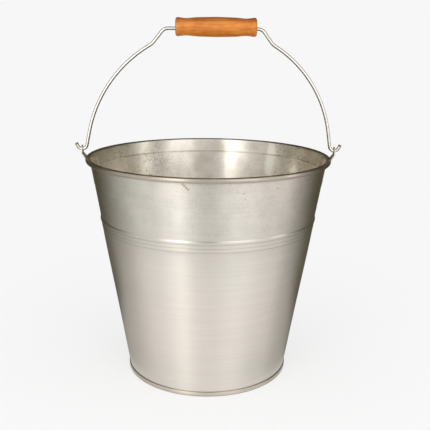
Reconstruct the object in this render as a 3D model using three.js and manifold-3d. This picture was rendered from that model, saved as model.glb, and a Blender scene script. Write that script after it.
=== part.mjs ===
// A tapered sheet-metal bucket with a wire bail and a turned wooden grip.
//
// Lengths are millimetres and +Z is up. The origin is the middle of the base, on the surface that the
// bucket stands on. X runs through the two ears, and the bail stands upright in the plane Y = 0.

import * as THREE from "three";
import { mergeVertices } from "three/addons/utils/BufferGeometryUtils.js";
import Module from "manifold-3d";

const wasm = await Module();
wasm.setup();

// Driving dimensions: body

const bodyHeight = 274; // ground to the top of the rim roll
const rimDiameter = 299.5; // over the rim roll
const footDiameter = 203.8; // over the folded band at the foot
const sheetThickness = 0.7;
const touchGap = 0.3; // left between pieces that touch on the real bucket

// Driving dimensions: rim

const hoopWireRadius = 1.8;
const hoopSlack = 0.5; // between the hoop wire and the sheet curled round it
const rollSweep = 290; // degrees of curl, from the inside of the wall over the top and back under

// Driving dimensions: foot fold and bottom

const bandHeight = 6.56;
const bandStandsProud = 0.3; // of the straight line of the wall
const foldGap = 0.4; // between the neck of the wall and the fold round it
const panRecess = 7; // ground to the underside of the bottom
const foldRound = 0.5;
const neckFlareBelow = 0.36; // the neck starts to flare this far below the top of the band
const neckFlareAbove = 1.44;

// Driving dimensions: wall

const wallSway = 0.5; // how far the lower wall hollows in from the straight line
const wallSwayShares = [
  [0.205, -1],
  [0.44, -0.7],
  [0.68, -0.16],
  [0.92, 0.4],
  [0.975, -0.1],
]; // share of the plain wall's height, share of the sway
const upperInset = 0.6; // the band above the beads stands this far inside the straight line
const beadDrop = 71.2; // top of the rim to the upper edge of the beads
const beadWidth = 5;
const beadProud = 0.5;
const beadCrownShares = [0.34, 0.66];
const ribCount = 2;
const ribWidth = 4.5;
const ribProud = 0.4;
const creaseDrop = 17.5; // top of the rim to the shallow crease under it
const creaseDepth = 0.12;

// Driving dimensions: lock seams

const seamAzimuth = 4.5; // degrees behind the line through the ears
const seamWidth = 5;
const seamGap = 0.3; // between the four layers of a seam
const seamSlope = 1; // run of the step that brings the front sheet over the back one
const seamLead = 0.5; // plain sheet before a hook starts
const seamTopDrop = 8; // top of the rim to the upper end of the hooks
const seamNotch = 0.5; // clear height above and below the hooks
const seamFootRise = 1.94; // top of the foot band to the lower end of the hooks

// Driving dimensions: ears

const earThickness = 1.2;
const earStrapWidth = 18;
const earWaistWidth = 13;
const earStrapLength = 24; // down the wall, below the bend under the rim
const earSlope = 51.7; // degrees above level, where the strap passes the rim roll
const earReach = 5.35; // outer edge of the rim roll to the middle of the ear plate
const earTipMetal = 2; // metal round the pivot hole
const earBendRadius = 2;
const earCornerRadius = 4;
const pivotRise = 6.4; // top of the rim to the pivot of the bail

// Driving dimensions: ear rivets

const rivetShankRadius = 2;
const rivetHeadRadius = 3.4;
const rivetHeadHeight = 1.1;
const rivetTailRadius = 3.1;
const rivetTailHeight = 0.9;
const rivetTailGap = 0.45; // the hollow of the wall comes nearer at the edge of the tail
const rivetEdgeInset = 6; // end of the strap to the nearer rivet
const rivetSpacing = 12;
const rivetFaceShare = 0.6; // flat middle of a rivet head, as a share of its radius

// Driving dimensions: bail

const bailWireRadius = 2;
const bailHeight = 146.1; // pivot to the middle of the wire under the grip
const bailLean = 4.5; // how far the top of the arch has been pushed over towards +X
const pivotClearance = 0.8; // round the wire in the ear
const hookRadius = 6;
const hookTailLean = 24; // degrees out from upright
const hookTailLength = 4;
const legLean = 10.5; // degrees in from upright
const shoulderElevation = 30.7; // degrees above level where the arch ends
const shoulderRadius = 14;
const riseElevation = 52; // degrees above level of the short rise to the grip
const riseLength = 15.4;
const cornerRadius = 9.5; // bend at each end of the straight top

// Driving dimensions: grip

const gripLength = 96;
const gripPlay = 5.3; // free wire at each end of the grip when it is in the middle
const gripShift = 3.5; // how far the grip has slid along the wire towards +X
const gripBoreClearance = 0.5;
const gripBellyRadius = 11.55;
const gripShoulderRadius = 11.05;
const gripWaistRadius = 9.95;
const gripRimRadius = 11;
const gripFaceRadius = 9.9;

// How far the shapes that cut others run past them

const cutOverrun = 4;

// Fineness of the faceted surfaces

const facetsAround = 60;
const rollSteps = 10;
const wireSides = 12;
const hoopSides = 6;
const gripFacets = 28;
const rivetFacets = 16;
const holeFacets = 24;
const bendSteps = 4;
const archStep = 5; // degrees
const tightStep = 18; // degrees

// Sizes that follow from the driving dimensions

const degrees = Math.PI / 180;
const facetAngle = 360 / facetsAround;
const rollRadius = hoopWireRadius + hoopSlack + sheetThickness;
const rollInnerRadius = rollRadius - sheetThickness;
const rollCentre = { r: rimDiameter / 2 - rollRadius, z: bodyHeight - rollRadius };
const wallFootRadius = footDiameter / 2 - bandStandsProud;
const bandInnerRadius = footDiameter / 2 - sheetThickness;
const neckRadius = bandInnerRadius - foldGap;
const flangeOuterRadius = neckRadius - sheetThickness - foldGap;
const flangeInnerRadius = flangeOuterRadius - sheetThickness;
const pivotHeight = bodyHeight + pivotRise;
const beadTop = bodyHeight - beadDrop;
const ribFoot = beadTop - beadWidth - ribCount * ribWidth;
const wallBottom = sheetThickness + foldGap;
const neckTop = bandHeight - neckFlareBelow;
const flareTop = bandHeight + neckFlareAbove;

// The band above the beads runs straight from the line of the foot to a tangent of the curl.
const bandFoot = { r: wallFootRadius - upperInset, z: bandHeight };
const bandToRoll = Math.hypot(rollCentre.r - bandFoot.r, rollCentre.z - bandFoot.z);
const lineToCentre = Math.atan2(rollCentre.r - bandFoot.r, rollCentre.z - bandFoot.z);
const wallAngle = lineToCentre - Math.asin(rollInnerRadius / bandToRoll);
const wallTaper = Math.tan(wallAngle);
const sheetRun = sheetThickness / Math.cos(wallAngle); // thickness of the wall measured level

// Radius of the straight line that the wall follows, at a height
function wallLine(z) {
  return wallFootRadius + (z - bandHeight) * wallTaper;
}

// Outer radius of the plain band above the beads
function upperBandRadius(z) {
  return wallLine(z) - upperInset;
}

// Helpers

function rotated(direction, angle) {
  const radians = angle * degrees;
  return new THREE.Vector2(
    direction.x * Math.cos(radians) - direction.y * Math.sin(radians),
    direction.x * Math.sin(radians) + direction.y * Math.cos(radians),
  );
}

function onlyPositions(geometry) {
  const bare = geometry.clone();
  bare.deleteAttribute("normal");
  bare.deleteAttribute("uv");
  return mergeVertices(bare);
}

function toManifold(geometry) {
  const merged = onlyPositions(geometry);
  const vertProperties = new Float32Array(merged.attributes.position.array);
  const triVerts = new Uint32Array(merged.index.array);
  return new wasm.Manifold(new wasm.Mesh({ numProp: 3, vertProperties, triVerts }));
}

function fromManifold(solid) {
  const mesh = solid.getMesh();
  const geometry = new THREE.BufferGeometry();
  geometry.setAttribute("position", new THREE.BufferAttribute(mesh.vertProperties, 3));
  geometry.setIndex(new THREE.BufferAttribute(mesh.triVerts, 1));
  return geometry;
}

// Two points for each point of a path, half a thickness to its left and to its right, with mitred corners
function offsetBothSides(path, thickness) {
  return path.map((point, index) => {
    const before = path[Math.max(index - 1, 0)];
    const after = path[Math.min(index + 1, path.length - 1)];
    const arriving = point.clone().sub(before);
    const leaving = after.clone().sub(point);
    if (arriving.length() === 0) arriving.copy(leaving);
    if (leaving.length() === 0) leaving.copy(arriving);
    const arrivingNormal = rotated(arriving.normalize(), 90);
    const leavingNormal = rotated(leaving.normalize(), 90);
    const bisector = arrivingNormal.clone().add(leavingNormal).normalize();
    const reach = thickness / 2 / bisector.dot(arrivingNormal);
    return {
      left: point.clone().addScaledVector(bisector, reach),
      right: point.clone().addScaledVector(bisector, -reach),
    };
  });
}

// A path with each of its inner corners rounded
function roundedPath(corners, radius, steps) {
  const path = [corners[0]];
  for (let index = 1; index + 1 < corners.length; index += 1) {
    const back = corners[index - 1].clone().sub(corners[index]).normalize();
    const ahead = corners[index + 1].clone().sub(corners[index]).normalize();
    const halfAngle = Math.acos(back.dot(ahead)) / 2;
    const setback = radius / Math.tan(halfAngle);
    const inward = back.clone().add(ahead).normalize();
    const centre = corners[index].clone().addScaledVector(inward, radius / Math.sin(halfAngle));
    const start = corners[index].clone().addScaledVector(back, setback).sub(centre);
    const turned = (180 - (2 * halfAngle) / degrees) * Math.sign(ahead.cross(back));
    for (let step = 0; step <= steps; step += 1) {
      path.push(rotated(start, (turned * step) / steps).add(centre));
    }
  }
  path.push(corners[corners.length - 1]);
  return path;
}

// Swaps the axes of a flat outline that was extruded along +Z, so that it stands across X
function standAcrossX(geometry) {
  const across = new THREE.Vector3(0, 1, 0);
  const upward = new THREE.Vector3(0, 0, 1);
  const along = new THREE.Vector3(1, 0, 0);
  return geometry.applyMatrix4(new THREE.Matrix4().makeBasis(across, upward, along));
}

function prism(outline, depth) {
  return new THREE.ExtrudeGeometry(outline, { depth, bevelEnabled: false, curveSegments: holeFacets / 2 });
}

function turnedAroundZ(profile, facets) {
  const points = profile.map(([radius, height]) => new THREE.Vector2(radius, height));
  return new THREE.LatheGeometry(points, facets).rotateX(Math.PI / 2);
}

// Body sheets: profile

// Each level of the wall has one point on its outer face and one on its inner face.
function wallLevel(outerRadius, z) {
  return { outer: { r: outerRadius, z }, inner: { r: outerRadius - sheetRun, z } };
}

function rollLevel(angle) {
  const along = new THREE.Vector2(Math.cos(angle * degrees), Math.sin(angle * degrees));
  return {
    outer: { r: rollCentre.r + rollInnerRadius * along.x, z: rollCentre.z + rollInnerRadius * along.y },
    inner: { r: rollCentre.r + rollRadius * along.x, z: rollCentre.z + rollRadius * along.y },
  };
}

function footLevels() {
  return [
    { outer: { r: neckRadius, z: wallBottom }, inner: { r: neckRadius - sheetThickness, z: wallBottom } },
    { outer: { r: neckRadius, z: neckTop }, inner: { r: neckRadius - sheetThickness, z: neckTop } },
    wallLevel(wallLine(flareTop) - wallSway, flareTop),
  ];
}

function plainWallLevels() {
  const height = ribFoot - flareTop;
  return wallSwayShares.map(([heightShare, swayShare]) => {
    const z = flareTop + height * heightShare;
    return wallLevel(wallLine(z) + wallSway * swayShare, z);
  });
}

function beadLevels() {
  const beads = [wallLevel(wallLine(ribFoot), ribFoot)];
  for (let rib = 0; rib < ribCount; rib += 1) {
    const crown = ribFoot + ribWidth * (rib + 1 / 2);
    const valley = ribFoot + ribWidth * (rib + 1);
    beads.push(wallLevel(wallLine(crown) + ribProud, crown));
    beads.push(wallLevel(wallLine(valley), valley));
  }
  for (const share of beadCrownShares) {
    const crown = beadTop - beadWidth * (1 - share);
    beads.push(wallLevel(wallLine(crown) + beadProud, crown));
  }
  beads.push(wallLevel(upperBandRadius(beadTop), beadTop));
  return beads;
}

function curlLevels() {
  const start = 180 - wallAngle / degrees;
  const curl = [];
  for (let step = 0; step <= rollSteps; step += 1) {
    curl.push(rollLevel(start - (rollSweep * step) / rollSteps));
  }
  return curl;
}

const seamFoot = bandHeight + seamFootRise;
const seamTop = bodyHeight - seamTopDrop;
const creaseHeight = bodyHeight - creaseDrop;
const belowSeam = footLevels();
const alongSeam = [
  wallLevel(wallLine(seamFoot) - wallSway, seamFoot),
  ...plainWallLevels(),
  ...beadLevels(),
  wallLevel(upperBandRadius(creaseHeight) - creaseDepth, creaseHeight),
  wallLevel(upperBandRadius(seamTop), seamTop),
];
const seamFootLevel = belowSeam.length;
const seamTopLevel = seamFootLevel + alongSeam.length - 1;
const levels = [
  ...belowSeam,
  ...alongSeam,
  wallLevel(upperBandRadius(seamTop + seamNotch), seamTop + seamNotch),
  ...curlLevels(),
];
const topLevel = levels.length - 1;

// Body sheets: columns of points, from the foot to the free edge of the curl

function arcColumn(azimuth) {
  const radial = rotated(new THREE.Vector2(1, 0), azimuth);
  const place = (point) => new THREE.Vector3(radial.x * point.r, radial.y * point.r, point.z);
  return levels.map((level) => ({ outer: place(level.outer), inner: place(level.inner) }));
}

// A point beside the middle of a seam: how far along the wall, and its radius
function besideSeam(along, radius, z) {
  const radial = rotated(new THREE.Vector2(1, 0), seamAzimuth);
  const forward = rotated(radial, 90);
  const place = radial.multiplyScalar(radius).addScaledVector(forward, along);
  return new THREE.Vector3(place.x, place.y, z);
}

function straightColumn(along) {
  return levels.map((level) => ({
    outer: besideSeam(along, level.outer.r, level.outer.z),
    inner: besideSeam(along, level.inner.r, level.inner.z),
  }));
}

// The columns of a hook, from its free edge to the plain wall. The path gives, for each corner of the
// middle of the sheet, how far along the wall it is and how deep below the outer face.
function hookColumns(path, outerSide) {
  const innerSide = outerSide === "left" ? "right" : "left";
  return offsetBothSides(path, sheetThickness).map((pair) =>
    levels.map((level) => {
      const run = (depth) => level.outer.r - depth / Math.cos(wallAngle);
      return {
        outer: besideSeam(pair[outerSide].x, run(pair[outerSide].y), level.outer.z),
        inner: besideSeam(pair[innerSide].x, run(pair[innerSide].y), level.outer.z),
      };
    }),
  );
}

const layerPitch = sheetThickness + seamGap;
const halfSeam = seamWidth / 2;
const halfSheet = sheetThickness / 2;

// Depth of the middle of one of the four layers of a seam, counted from the outside
function layerDepth(layer) {
  return layer * layerPitch + halfSheet;
}

const frontStepTop = -halfSeam - seamGap - halfSheet;
const frontStepFoot = frontStepTop - seamSlope;
const frontSeamStart = frontStepFoot - seamLead;
const frontHook = [
  new THREE.Vector2(-halfSeam + layerPitch, layerDepth(1)),
  new THREE.Vector2(halfSeam - halfSheet, layerDepth(1)),
  new THREE.Vector2(halfSeam - halfSheet, layerDepth(3)),
  new THREE.Vector2(frontStepTop, layerDepth(3)),
  new THREE.Vector2(frontStepFoot, layerDepth(0)),
  new THREE.Vector2(frontSeamStart, layerDepth(0)),
];

const backSeamStart = halfSeam + seamLead;
const backHook = [
  new THREE.Vector2(halfSeam - layerPitch, layerDepth(2)),
  new THREE.Vector2(-halfSeam + halfSheet, layerDepth(2)),
  new THREE.Vector2(-halfSeam + halfSheet, layerDepth(0)),
  new THREE.Vector2(backSeamStart, layerDepth(0)),
];

// Body sheets: faces

// The two faces of a stretch of sheet between neighbouring columns, and its lower and upper edges
function addStretch(faces, columns, low, high) {
  for (let index = 0; index + 1 < columns.length; index += 1) {
    const here = columns[index];
    const next = columns[index + 1];
    for (let level = low; level < high; level += 1) {
      faces.push([here[level].outer, next[level].outer, next[level + 1].outer, here[level + 1].outer]);
      faces.push([next[level].inner, here[level].inner, here[level + 1].inner, next[level + 1].inner]);
    }
    faces.push([next[low].outer, here[low].outer, here[low].inner, next[low].inner]);
    faces.push([here[high].outer, next[high].outer, next[high].inner, here[high].inner]);
  }
}

// The cut edge of the sheet down one column
function addCutEdge(faces, column, low, high) {
  for (let level = low; level < high; level += 1) {
    faces.push([column[level].outer, column[level + 1].outer, column[level + 1].inner, column[level].inner]);
  }
}

function facesToGeometry(faces, turnOver) {
  const positions = [];
  const addTriangle = (a, b, c) => {
    const corners = turnOver ? [a, c, b] : [a, b, c];
    for (const corner of corners) positions.push(corner.x, corner.y, corner.z);
  };
  for (const [a, b, c, d] of faces) {
    addTriangle(a, b, c);
    addTriangle(a, c, d);
  }
  const geometry = new THREE.BufferGeometry();
  geometry.setAttribute("position", new THREE.Float32BufferAttribute(positions, 3));
  return mergeVertices(geometry);
}

function mirroredInX(faces) {
  return faces.map((face) => face.map((corner) => corner.clone().setX(-corner.x)).reverse());
}

// One half sheet, made from the seam on the +X side to the middle, and its mirror image
function halfSheetGeometry(hook, outerSide, seamStart, buttEdge, azimuths, turnOver) {
  const seamColumn = straightColumn(seamStart);
  const arcColumns = [seamColumn, ...azimuths.map(arcColumn)];
  const buttColumns = [straightColumn(buttEdge), seamColumn];
  const hookStrip = hookColumns(hook, outerSide);
  hookStrip[hookStrip.length - 1] = seamColumn;
  const faces = [];
  addStretch(faces, arcColumns, 0, topLevel);
  addStretch(faces, buttColumns, 0, seamFootLevel - 1);
  addStretch(faces, hookStrip, seamFootLevel, seamTopLevel);
  addStretch(faces, buttColumns, seamTopLevel + 1, topLevel);
  addCutEdge(faces, buttColumns[0], 0, seamFootLevel - 1);
  addCutEdge(faces, seamColumn, seamFootLevel - 1, seamFootLevel);
  addCutEdge(faces, hookStrip[0], seamFootLevel, seamTopLevel);
  addCutEdge(faces, seamColumn, seamTopLevel, seamTopLevel + 1);
  addCutEdge(faces, buttColumns[0], seamTopLevel + 1, topLevel);
  return facesToGeometry([...faces, ...mirroredInX(faces)], turnOver);
}

function frontSheetGeometry() {
  const azimuths = [];
  for (let azimuth = 0; azimuth >= -90; azimuth -= facetAngle) azimuths.push(azimuth);
  const sheet = halfSheetGeometry(frontHook, "left", frontSeamStart, -touchGap / 2, azimuths, true);
  let solid = toManifold(sheet);
  for (const side of [1, -1]) {
    for (const place of rivetPlaces) solid = solid.subtract(rivetHole(place, side));
  }
  return fromManifold(solid);
}

function backSheetGeometry() {
  const azimuths = [];
  for (let azimuth = 90; azimuth > seamAzimuth + facetAngle; azimuth -= facetAngle) azimuths.unshift(azimuth);
  return halfSheetGeometry(backHook, "right", backSeamStart, touchGap / 2, azimuths, false);
}

// Bottom: a pan whose rim is folded down, out and up round the neck of the wall

function bottomPanGeometry() {
  const outer = footDiameter / 2;
  const top = panRecess + sheetThickness;
  return turnedAroundZ(
    [
      [0, panRecess],
      [flangeInnerRadius - foldRound, panRecess],
      [flangeInnerRadius, panRecess - foldRound],
      [flangeInnerRadius, foldRound],
      [flangeInnerRadius + foldRound, 0],
      [outer - foldRound, 0],
      [outer, foldRound],
      [outer, bandHeight],
      [bandInnerRadius, bandHeight],
      [bandInnerRadius, sheetThickness],
      [flangeOuterRadius, sheetThickness],
      [flangeOuterRadius, top - foldRound],
      [flangeOuterRadius - foldRound, top],
      [0, top],
    ],
    facetsAround,
  );
}

function rimWireGeometry() {
  const hoop = new THREE.TorusGeometry(rollCentre.r, hoopWireRadius, hoopSides, facetsAround);
  return hoop.translate(0, 0, rollCentre.z);
}

// Ears

const earPlateX = rimDiameter / 2 + earReach;
const pivotHoleRadius = bailWireRadius + pivotClearance;
const earTipRadius = pivotHoleRadius + earTipMetal;
const earTop = pivotHeight + earTipRadius;
const earStandOff = touchGap + earThickness / 2; // face of the wall or roll to the middle of the strap

// The sloping part of the strap passes the rim roll at the touching gap.
const slopeAlong = rotated(new THREE.Vector2(1, 0), earSlope);
const slopeOutward = rotated(slopeAlong, -90);
const slopePoint = new THREE.Vector2(rollCentre.r, rollCentre.z).addScaledVector(
  slopeOutward,
  rollRadius + earStandOff,
);
const wallAlong = new THREE.Vector2(Math.sin(wallAngle), Math.cos(wallAngle));
const wallOutward = rotated(wallAlong, -90);

// Middle of the part of the strap that lies on the wall, at the height where a point of the wall is
function strapOnWall(z) {
  return new THREE.Vector2(upperBandRadius(z), z).addScaledVector(wallOutward, earStandOff);
}

// Where two straight lines, each given by a point and a direction, cross
function crossing(pointA, alongA, pointB, alongB) {
  const between = pointB.clone().sub(pointA);
  return pointA.clone().addScaledVector(alongA, between.cross(alongB) / alongA.cross(alongB));
}

const strapBend = crossing(strapOnWall(creaseHeight), wallAlong, slopePoint, slopeAlong);
const plateFoot = new THREE.Vector2(earPlateX, pivotHeight);
const plateBend = crossing(slopePoint, slopeAlong, plateFoot, new THREE.Vector2(0, 1));
const strapEnd = strapBend.clone().addScaledVector(wallAlong, -earStrapLength);

function earSideOutline() {
  const pastEnd = strapEnd.clone().addScaledVector(wallAlong, -cutOverrun);
  const pastTop = new THREE.Vector2(earPlateX, earTop + cutOverrun);
  const corners = [pastEnd, strapBend, plateBend, pastTop];
  const pairs = offsetBothSides(roundedPath(corners, earBendRadius, bendSteps), earThickness);
  const leftSide = pairs.map((pair) => pair.left);
  const rightSide = pairs.map((pair) => pair.right);
  return new THREE.Shape([...rightSide, ...leftSide.reverse()]);
}

// The ear seen from outside: a wide strap with rounded lower corners, narrowing to a round tip
function earFaceOutline() {
  const halfStrap = earStrapWidth / 2;
  const halfWaist = earWaistWidth / 2;
  const cornerX = halfStrap - earCornerRadius;
  const cornerZ = strapEnd.y + earCornerRadius;
  const outline = new THREE.Shape();
  outline.moveTo(-cornerX, strapEnd.y);
  outline.lineTo(cornerX, strapEnd.y);
  outline.absarc(cornerX, cornerZ, earCornerRadius, -90 * degrees, 0);
  outline.lineTo(halfStrap, strapBend.y);
  outline.lineTo(halfWaist, plateBend.y);
  outline.absarc(0, pivotHeight, earTipRadius, 0, 180 * degrees);
  outline.lineTo(-halfWaist, plateBend.y);
  outline.lineTo(-halfStrap, strapBend.y);
  outline.absarc(-cornerX, cornerZ, earCornerRadius, -180 * degrees, -90 * degrees);
  return outline;
}

function earGeometry() {
  const side = prism(earSideOutline(), earStrapWidth + cutOverrun * 2).rotateX(Math.PI / 2);
  side.translate(0, earStrapWidth / 2 + cutOverrun, 0);
  const depth = earPlateX - strapEnd.x + cutOverrun * 2;
  const face = standAcrossX(prism(earFaceOutline(), depth));
  face.translate(strapEnd.x - cutOverrun, 0, 0);
  const pivotHole = new THREE.CylinderGeometry(pivotHoleRadius, pivotHoleRadius, cutOverrun * 2, holeFacets);
  pivotHole.rotateZ(Math.PI / 2).translate(earPlateX, 0, pivotHeight);
  let solid = toManifold(side).intersect(toManifold(face)).subtract(toManifold(pivotHole));
  for (const place of rivetPlaces) solid = solid.subtract(rivetHole(place, 1));
  return fromManifold(solid);
}

// Ear rivets, square to the wall

const rivetPlaces = [
  { name: "lower", along: rivetEdgeInset },
  { name: "upper", along: rivetEdgeInset + rivetSpacing },
];

// Turns a shape made along +Y into one that stands on the wall at a rivet, on the +X or -X side
function setAtRivet(geometry, place, side) {
  const onWall = strapEnd.clone().addScaledVector(wallAlong, place.along);
  onWall.addScaledVector(wallOutward, -earStandOff);
  const outward = new THREE.Vector3(wallOutward.x, 0, wallOutward.y);
  const across = new THREE.Vector3(0, 1, 0);
  const upward = new THREE.Vector3().crossVectors(outward, across);
  geometry.applyMatrix4(new THREE.Matrix4().makeBasis(across, outward, upward.negate()));
  geometry.translate(onWall.x, 0, onWall.y);
  return side > 0 ? geometry : geometry.rotateZ(Math.PI);
}

function rivetHole(place, side) {
  const radius = rivetShankRadius + touchGap;
  const drill = new THREE.CylinderGeometry(radius, radius, cutOverrun * 2, rivetFacets);
  return toManifold(setAtRivet(drill, place, side));
}

function rivetGeometry(place, side) {
  const tailSeat = -sheetThickness - rivetTailGap;
  const headSeat = touchGap + earThickness + touchGap;
  const profile = [
    [0, tailSeat - rivetTailHeight],
    [rivetTailRadius * rivetFaceShare, tailSeat - rivetTailHeight],
    [rivetTailRadius, tailSeat - rivetTailHeight / 2],
    [rivetTailRadius, tailSeat],
    [rivetShankRadius, tailSeat],
    [rivetShankRadius, headSeat],
    [rivetHeadRadius, headSeat],
    [rivetHeadRadius, headSeat + rivetHeadHeight / 2],
    [rivetHeadRadius * rivetFaceShare, headSeat + rivetHeadHeight],
    [0, headSeat + rivetHeadHeight],
  ];
  const points = profile.map(([radius, height]) => new THREE.Vector2(radius, height));
  return setAtRivet(new THREE.LatheGeometry(points, rivetFacets), place, side);
}

// Bail: half of the wire, from the tip of a tail to the middle of the straight top, in its own plane

// A stretch of arc about a centre, from one angle to another, without its first point
function arcStations(centre, radius, from, to, largestStep) {
  const steps = Math.ceil(Math.abs(to - from) / largestStep);
  const stations = [];
  for (let step = 1; step <= steps; step += 1) {
    const angle = from + ((to - from) * step) / steps;
    stations.push(rotated(new THREE.Vector2(radius, 0), angle).add(centre));
  }
  return stations;
}

function hookStations() {
  const centre = new THREE.Vector2(earPlateX, pivotHeight + hookRadius);
  const tailStart = rotated(new THREE.Vector2(hookRadius, 0), -hookTailLean).add(centre);
  const tailAlong = rotated(new THREE.Vector2(0, 1), -hookTailLean);
  const tip = tailStart.clone().addScaledVector(tailAlong, hookTailLength);
  const round = arcStations(centre, hookRadius, -hookTailLean, legLean - 180, tightStep);
  return [tip, tailStart, ...round];
}

function topStations() {
  const topHalf = gripLength / 2 + gripPlay;
  const top = pivotHeight + bailHeight;
  const cornerCentre = new THREE.Vector2(topHalf, top - cornerRadius);
  const cornerTurn = 90 - riseElevation;
  const cornerFoot = rotated(new THREE.Vector2(cornerRadius, 0), cornerTurn).add(cornerCentre);
  const riseAlong = rotated(new THREE.Vector2(1, 0), -riseElevation);
  const riseFoot = cornerFoot.clone().addScaledVector(riseAlong, riseLength);
  const shoulderCentre = riseFoot.clone().addScaledVector(rotated(riseAlong, 90), shoulderRadius);
  const shoulderStart = -90 - shoulderElevation;
  const shoulderEnd = -90 - riseElevation;
  const shoulder = rotated(new THREE.Vector2(shoulderRadius, 0), shoulderStart).add(shoulderCentre);
  return {
    shoulder,
    stations: [
      ...arcStations(shoulderCentre, shoulderRadius, shoulderStart, shoulderEnd, tightStep),
      cornerFoot,
      ...arcStations(cornerCentre, cornerRadius, cornerTurn, 90, tightStep),
    ],
  };
}

// The arch is the one arc that leaves the shoulder and the straight leg of the hook without a kink.
function archBetween(leg, shoulder) {
  const shoulderOut = rotated(new THREE.Vector2(1, 0), 90 - shoulderElevation);
  const legOut = rotated(new THREE.Vector2(1, 0), legLean);
  const legAlong = rotated(legOut, 90);
  const chord = shoulderOut.clone().sub(legOut);
  const between = shoulder.clone().sub(leg);
  const radius = between.cross(legAlong) / chord.cross(legAlong);
  const centre = shoulder.clone().addScaledVector(shoulderOut, -radius);
  const start = centre.clone().addScaledVector(legOut, radius);
  return [start, ...arcStations(centre, radius, legLean, 90 - shoulderElevation, archStep)];
}

function bailStations() {
  const hook = hookStations();
  const leg = hook[hook.length - 1];
  const { shoulder, stations } = topStations();
  const arch = [...archBetween(leg, shoulder), ...stations];
  const rise = pivotHeight + bailHeight - leg.y;
  const onSide = (side, leans) => (point) => {
    const lean = leans ? (bailLean * (point.y - leg.y)) / rise : 0;
    return new THREE.Vector3(side * point.x + lean, 0, point.y);
  };
  const leftHalf = [...hook.map(onSide(-1, false)), ...arch.map(onSide(-1, true))];
  const rightHalf = [...hook.map(onSide(1, false)), ...arch.map(onSide(1, true))];
  return [...leftHalf, ...rightHalf.reverse()];
}

// A curve that steps from station to station, so that tight bends get as many steps as they need
class WirePath extends THREE.Curve {
  constructor(stations) {
    super();
    this.stations = stations;
  }

  getPoint(share) {
    const last = this.stations.length - 1;
    const index = Math.min(Math.floor(share * last), last - 1);
    return this.stations[index].clone().lerp(this.stations[index + 1], share * last - index);
  }

  getPointAt(share) {
    return this.stations[Math.round(share * (this.stations.length - 1))].clone();
  }

  getTangentAt(share) {
    const last = this.stations.length - 1;
    const index = Math.round(share * last);
    const here = this.stations[index];
    const before = this.stations[Math.max(index - 1, 0)];
    const after = this.stations[Math.min(index + 1, last)];
    const arriving = here.clone().sub(before).normalize();
    const leaving = after.clone().sub(here).normalize();
    return arriving.add(leaving).normalize();
  }
}

function bailWireGeometry() {
  const stations = bailStations();
  const section = new THREE.Shape();
  section.absarc(0, 0, bailWireRadius, 0, 360 * degrees);
  return new THREE.ExtrudeGeometry(new THREE.Shape(section.getPoints(wireSides).slice(0, wireSides)), {
    steps: stations.length - 1,
    extrudePath: new WirePath(stations),
    bevelEnabled: false,
  });
}

// Grip: a turned barrel with a rim and a waist at each end, bored for the wire

const gripHalfShares = [
  [0.02, gripRimRadius - (gripRimRadius - gripFaceRadius) / 4],
  [0.06, gripRimRadius],
  [0.14, (gripRimRadius + gripWaistRadius) / 2],
  [0.27, gripWaistRadius],
  [0.4, (gripWaistRadius + gripShoulderRadius) / 2],
  [0.54, gripShoulderRadius],
  [0.75, (gripShoulderRadius + gripBellyRadius) / 2],
]; // share of the half length from an end, radius there

function woodenGripGeometry() {
  const half = gripLength / 2;
  const bore = bailWireRadius + gripBoreClearance;
  const leftHalf = gripHalfShares.map(([share, radius]) => new THREE.Vector2(radius, -half * (1 - share)));
  const rightHalf = gripHalfShares.map(([share, radius]) => new THREE.Vector2(radius, half * (1 - share)));
  const profile = [
    new THREE.Vector2(bore, -half),
    new THREE.Vector2(gripFaceRadius, -half),
    ...leftHalf,
    new THREE.Vector2(gripBellyRadius, 0),
    ...rightHalf.reverse(),
    new THREE.Vector2(gripFaceRadius, half),
    new THREE.Vector2(bore, half),
    new THREE.Vector2(bore, -half),
  ];
  const grip = new THREE.LatheGeometry(profile, gripFacets).rotateZ(-Math.PI / 2);
  return grip.translate(bailLean + gripShift, 0, pivotHeight + bailHeight);
}

// Finishes

function sheetFinish() {
  return new THREE.MeshStandardMaterial({ color: 0xc9c7c2, roughness: 0.34, metalness: 0.9 });
}

function wireFinish() {
  return new THREE.MeshStandardMaterial({ color: 0xcfcbc2, roughness: 0.3, metalness: 0.9 });
}

function woodFinish() {
  return new THREE.MeshStandardMaterial({ color: 0xd98d47, roughness: 0.38, metalness: 0 });
}

// Assembly

const bucket = new THREE.Group();

function addPiece(name, geometry, finish) {
  const mesh = new THREE.Mesh(geometry, finish);
  mesh.name = name;
  bucket.add(mesh);
  return mesh;
}

addPiece("body_front_sheet", frontSheetGeometry(), sheetFinish());
addPiece("body_back_sheet", backSheetGeometry(), sheetFinish());
addPiece("bottom_pan", bottomPanGeometry(), sheetFinish());
addPiece("rim_wire", rimWireGeometry(), wireFinish());

for (const [sideName, side] of [
  ["right", 1],
  ["left", -1],
]) {
  const ear = addPiece(`ear_${sideName}`, earGeometry(), sheetFinish());
  ear.rotation.z = side > 0 ? 0 : Math.PI;
  for (const place of rivetPlaces) {
    addPiece(`ear_rivet_${sideName}_${place.name}`, rivetGeometry(place, side), sheetFinish());
  }
}

addPiece("bail_wire", bailWireGeometry(), wireFinish());
addPiece("wooden_grip", woodenGripGeometry(), woodFinish());

export default bucket;
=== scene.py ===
# %% [markdown]
# # A sheet-metal bucket with a wire bail and a wooden grip
#
# The bucket is a tapered can of bright sheet metal. Two half sheets hook together in two upright lock seams,
# a pan is folded round their foot, and their top edge is curled over a hoop of wire. Two ears, riveted on
# under the rim, carry a wire bail, and a turned wooden grip spins on the bail.
#
# The lesson starts from a fixed frame: a plain model of the same pieces at their real size. Each finer piece
# made here stands where its plain piece stands, takes its size from it, and moves with the same body.

# %% The fixed frame
import math

import bmesh
import bpy
import numpy as np
from mathutils import Matrix, Vector


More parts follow.
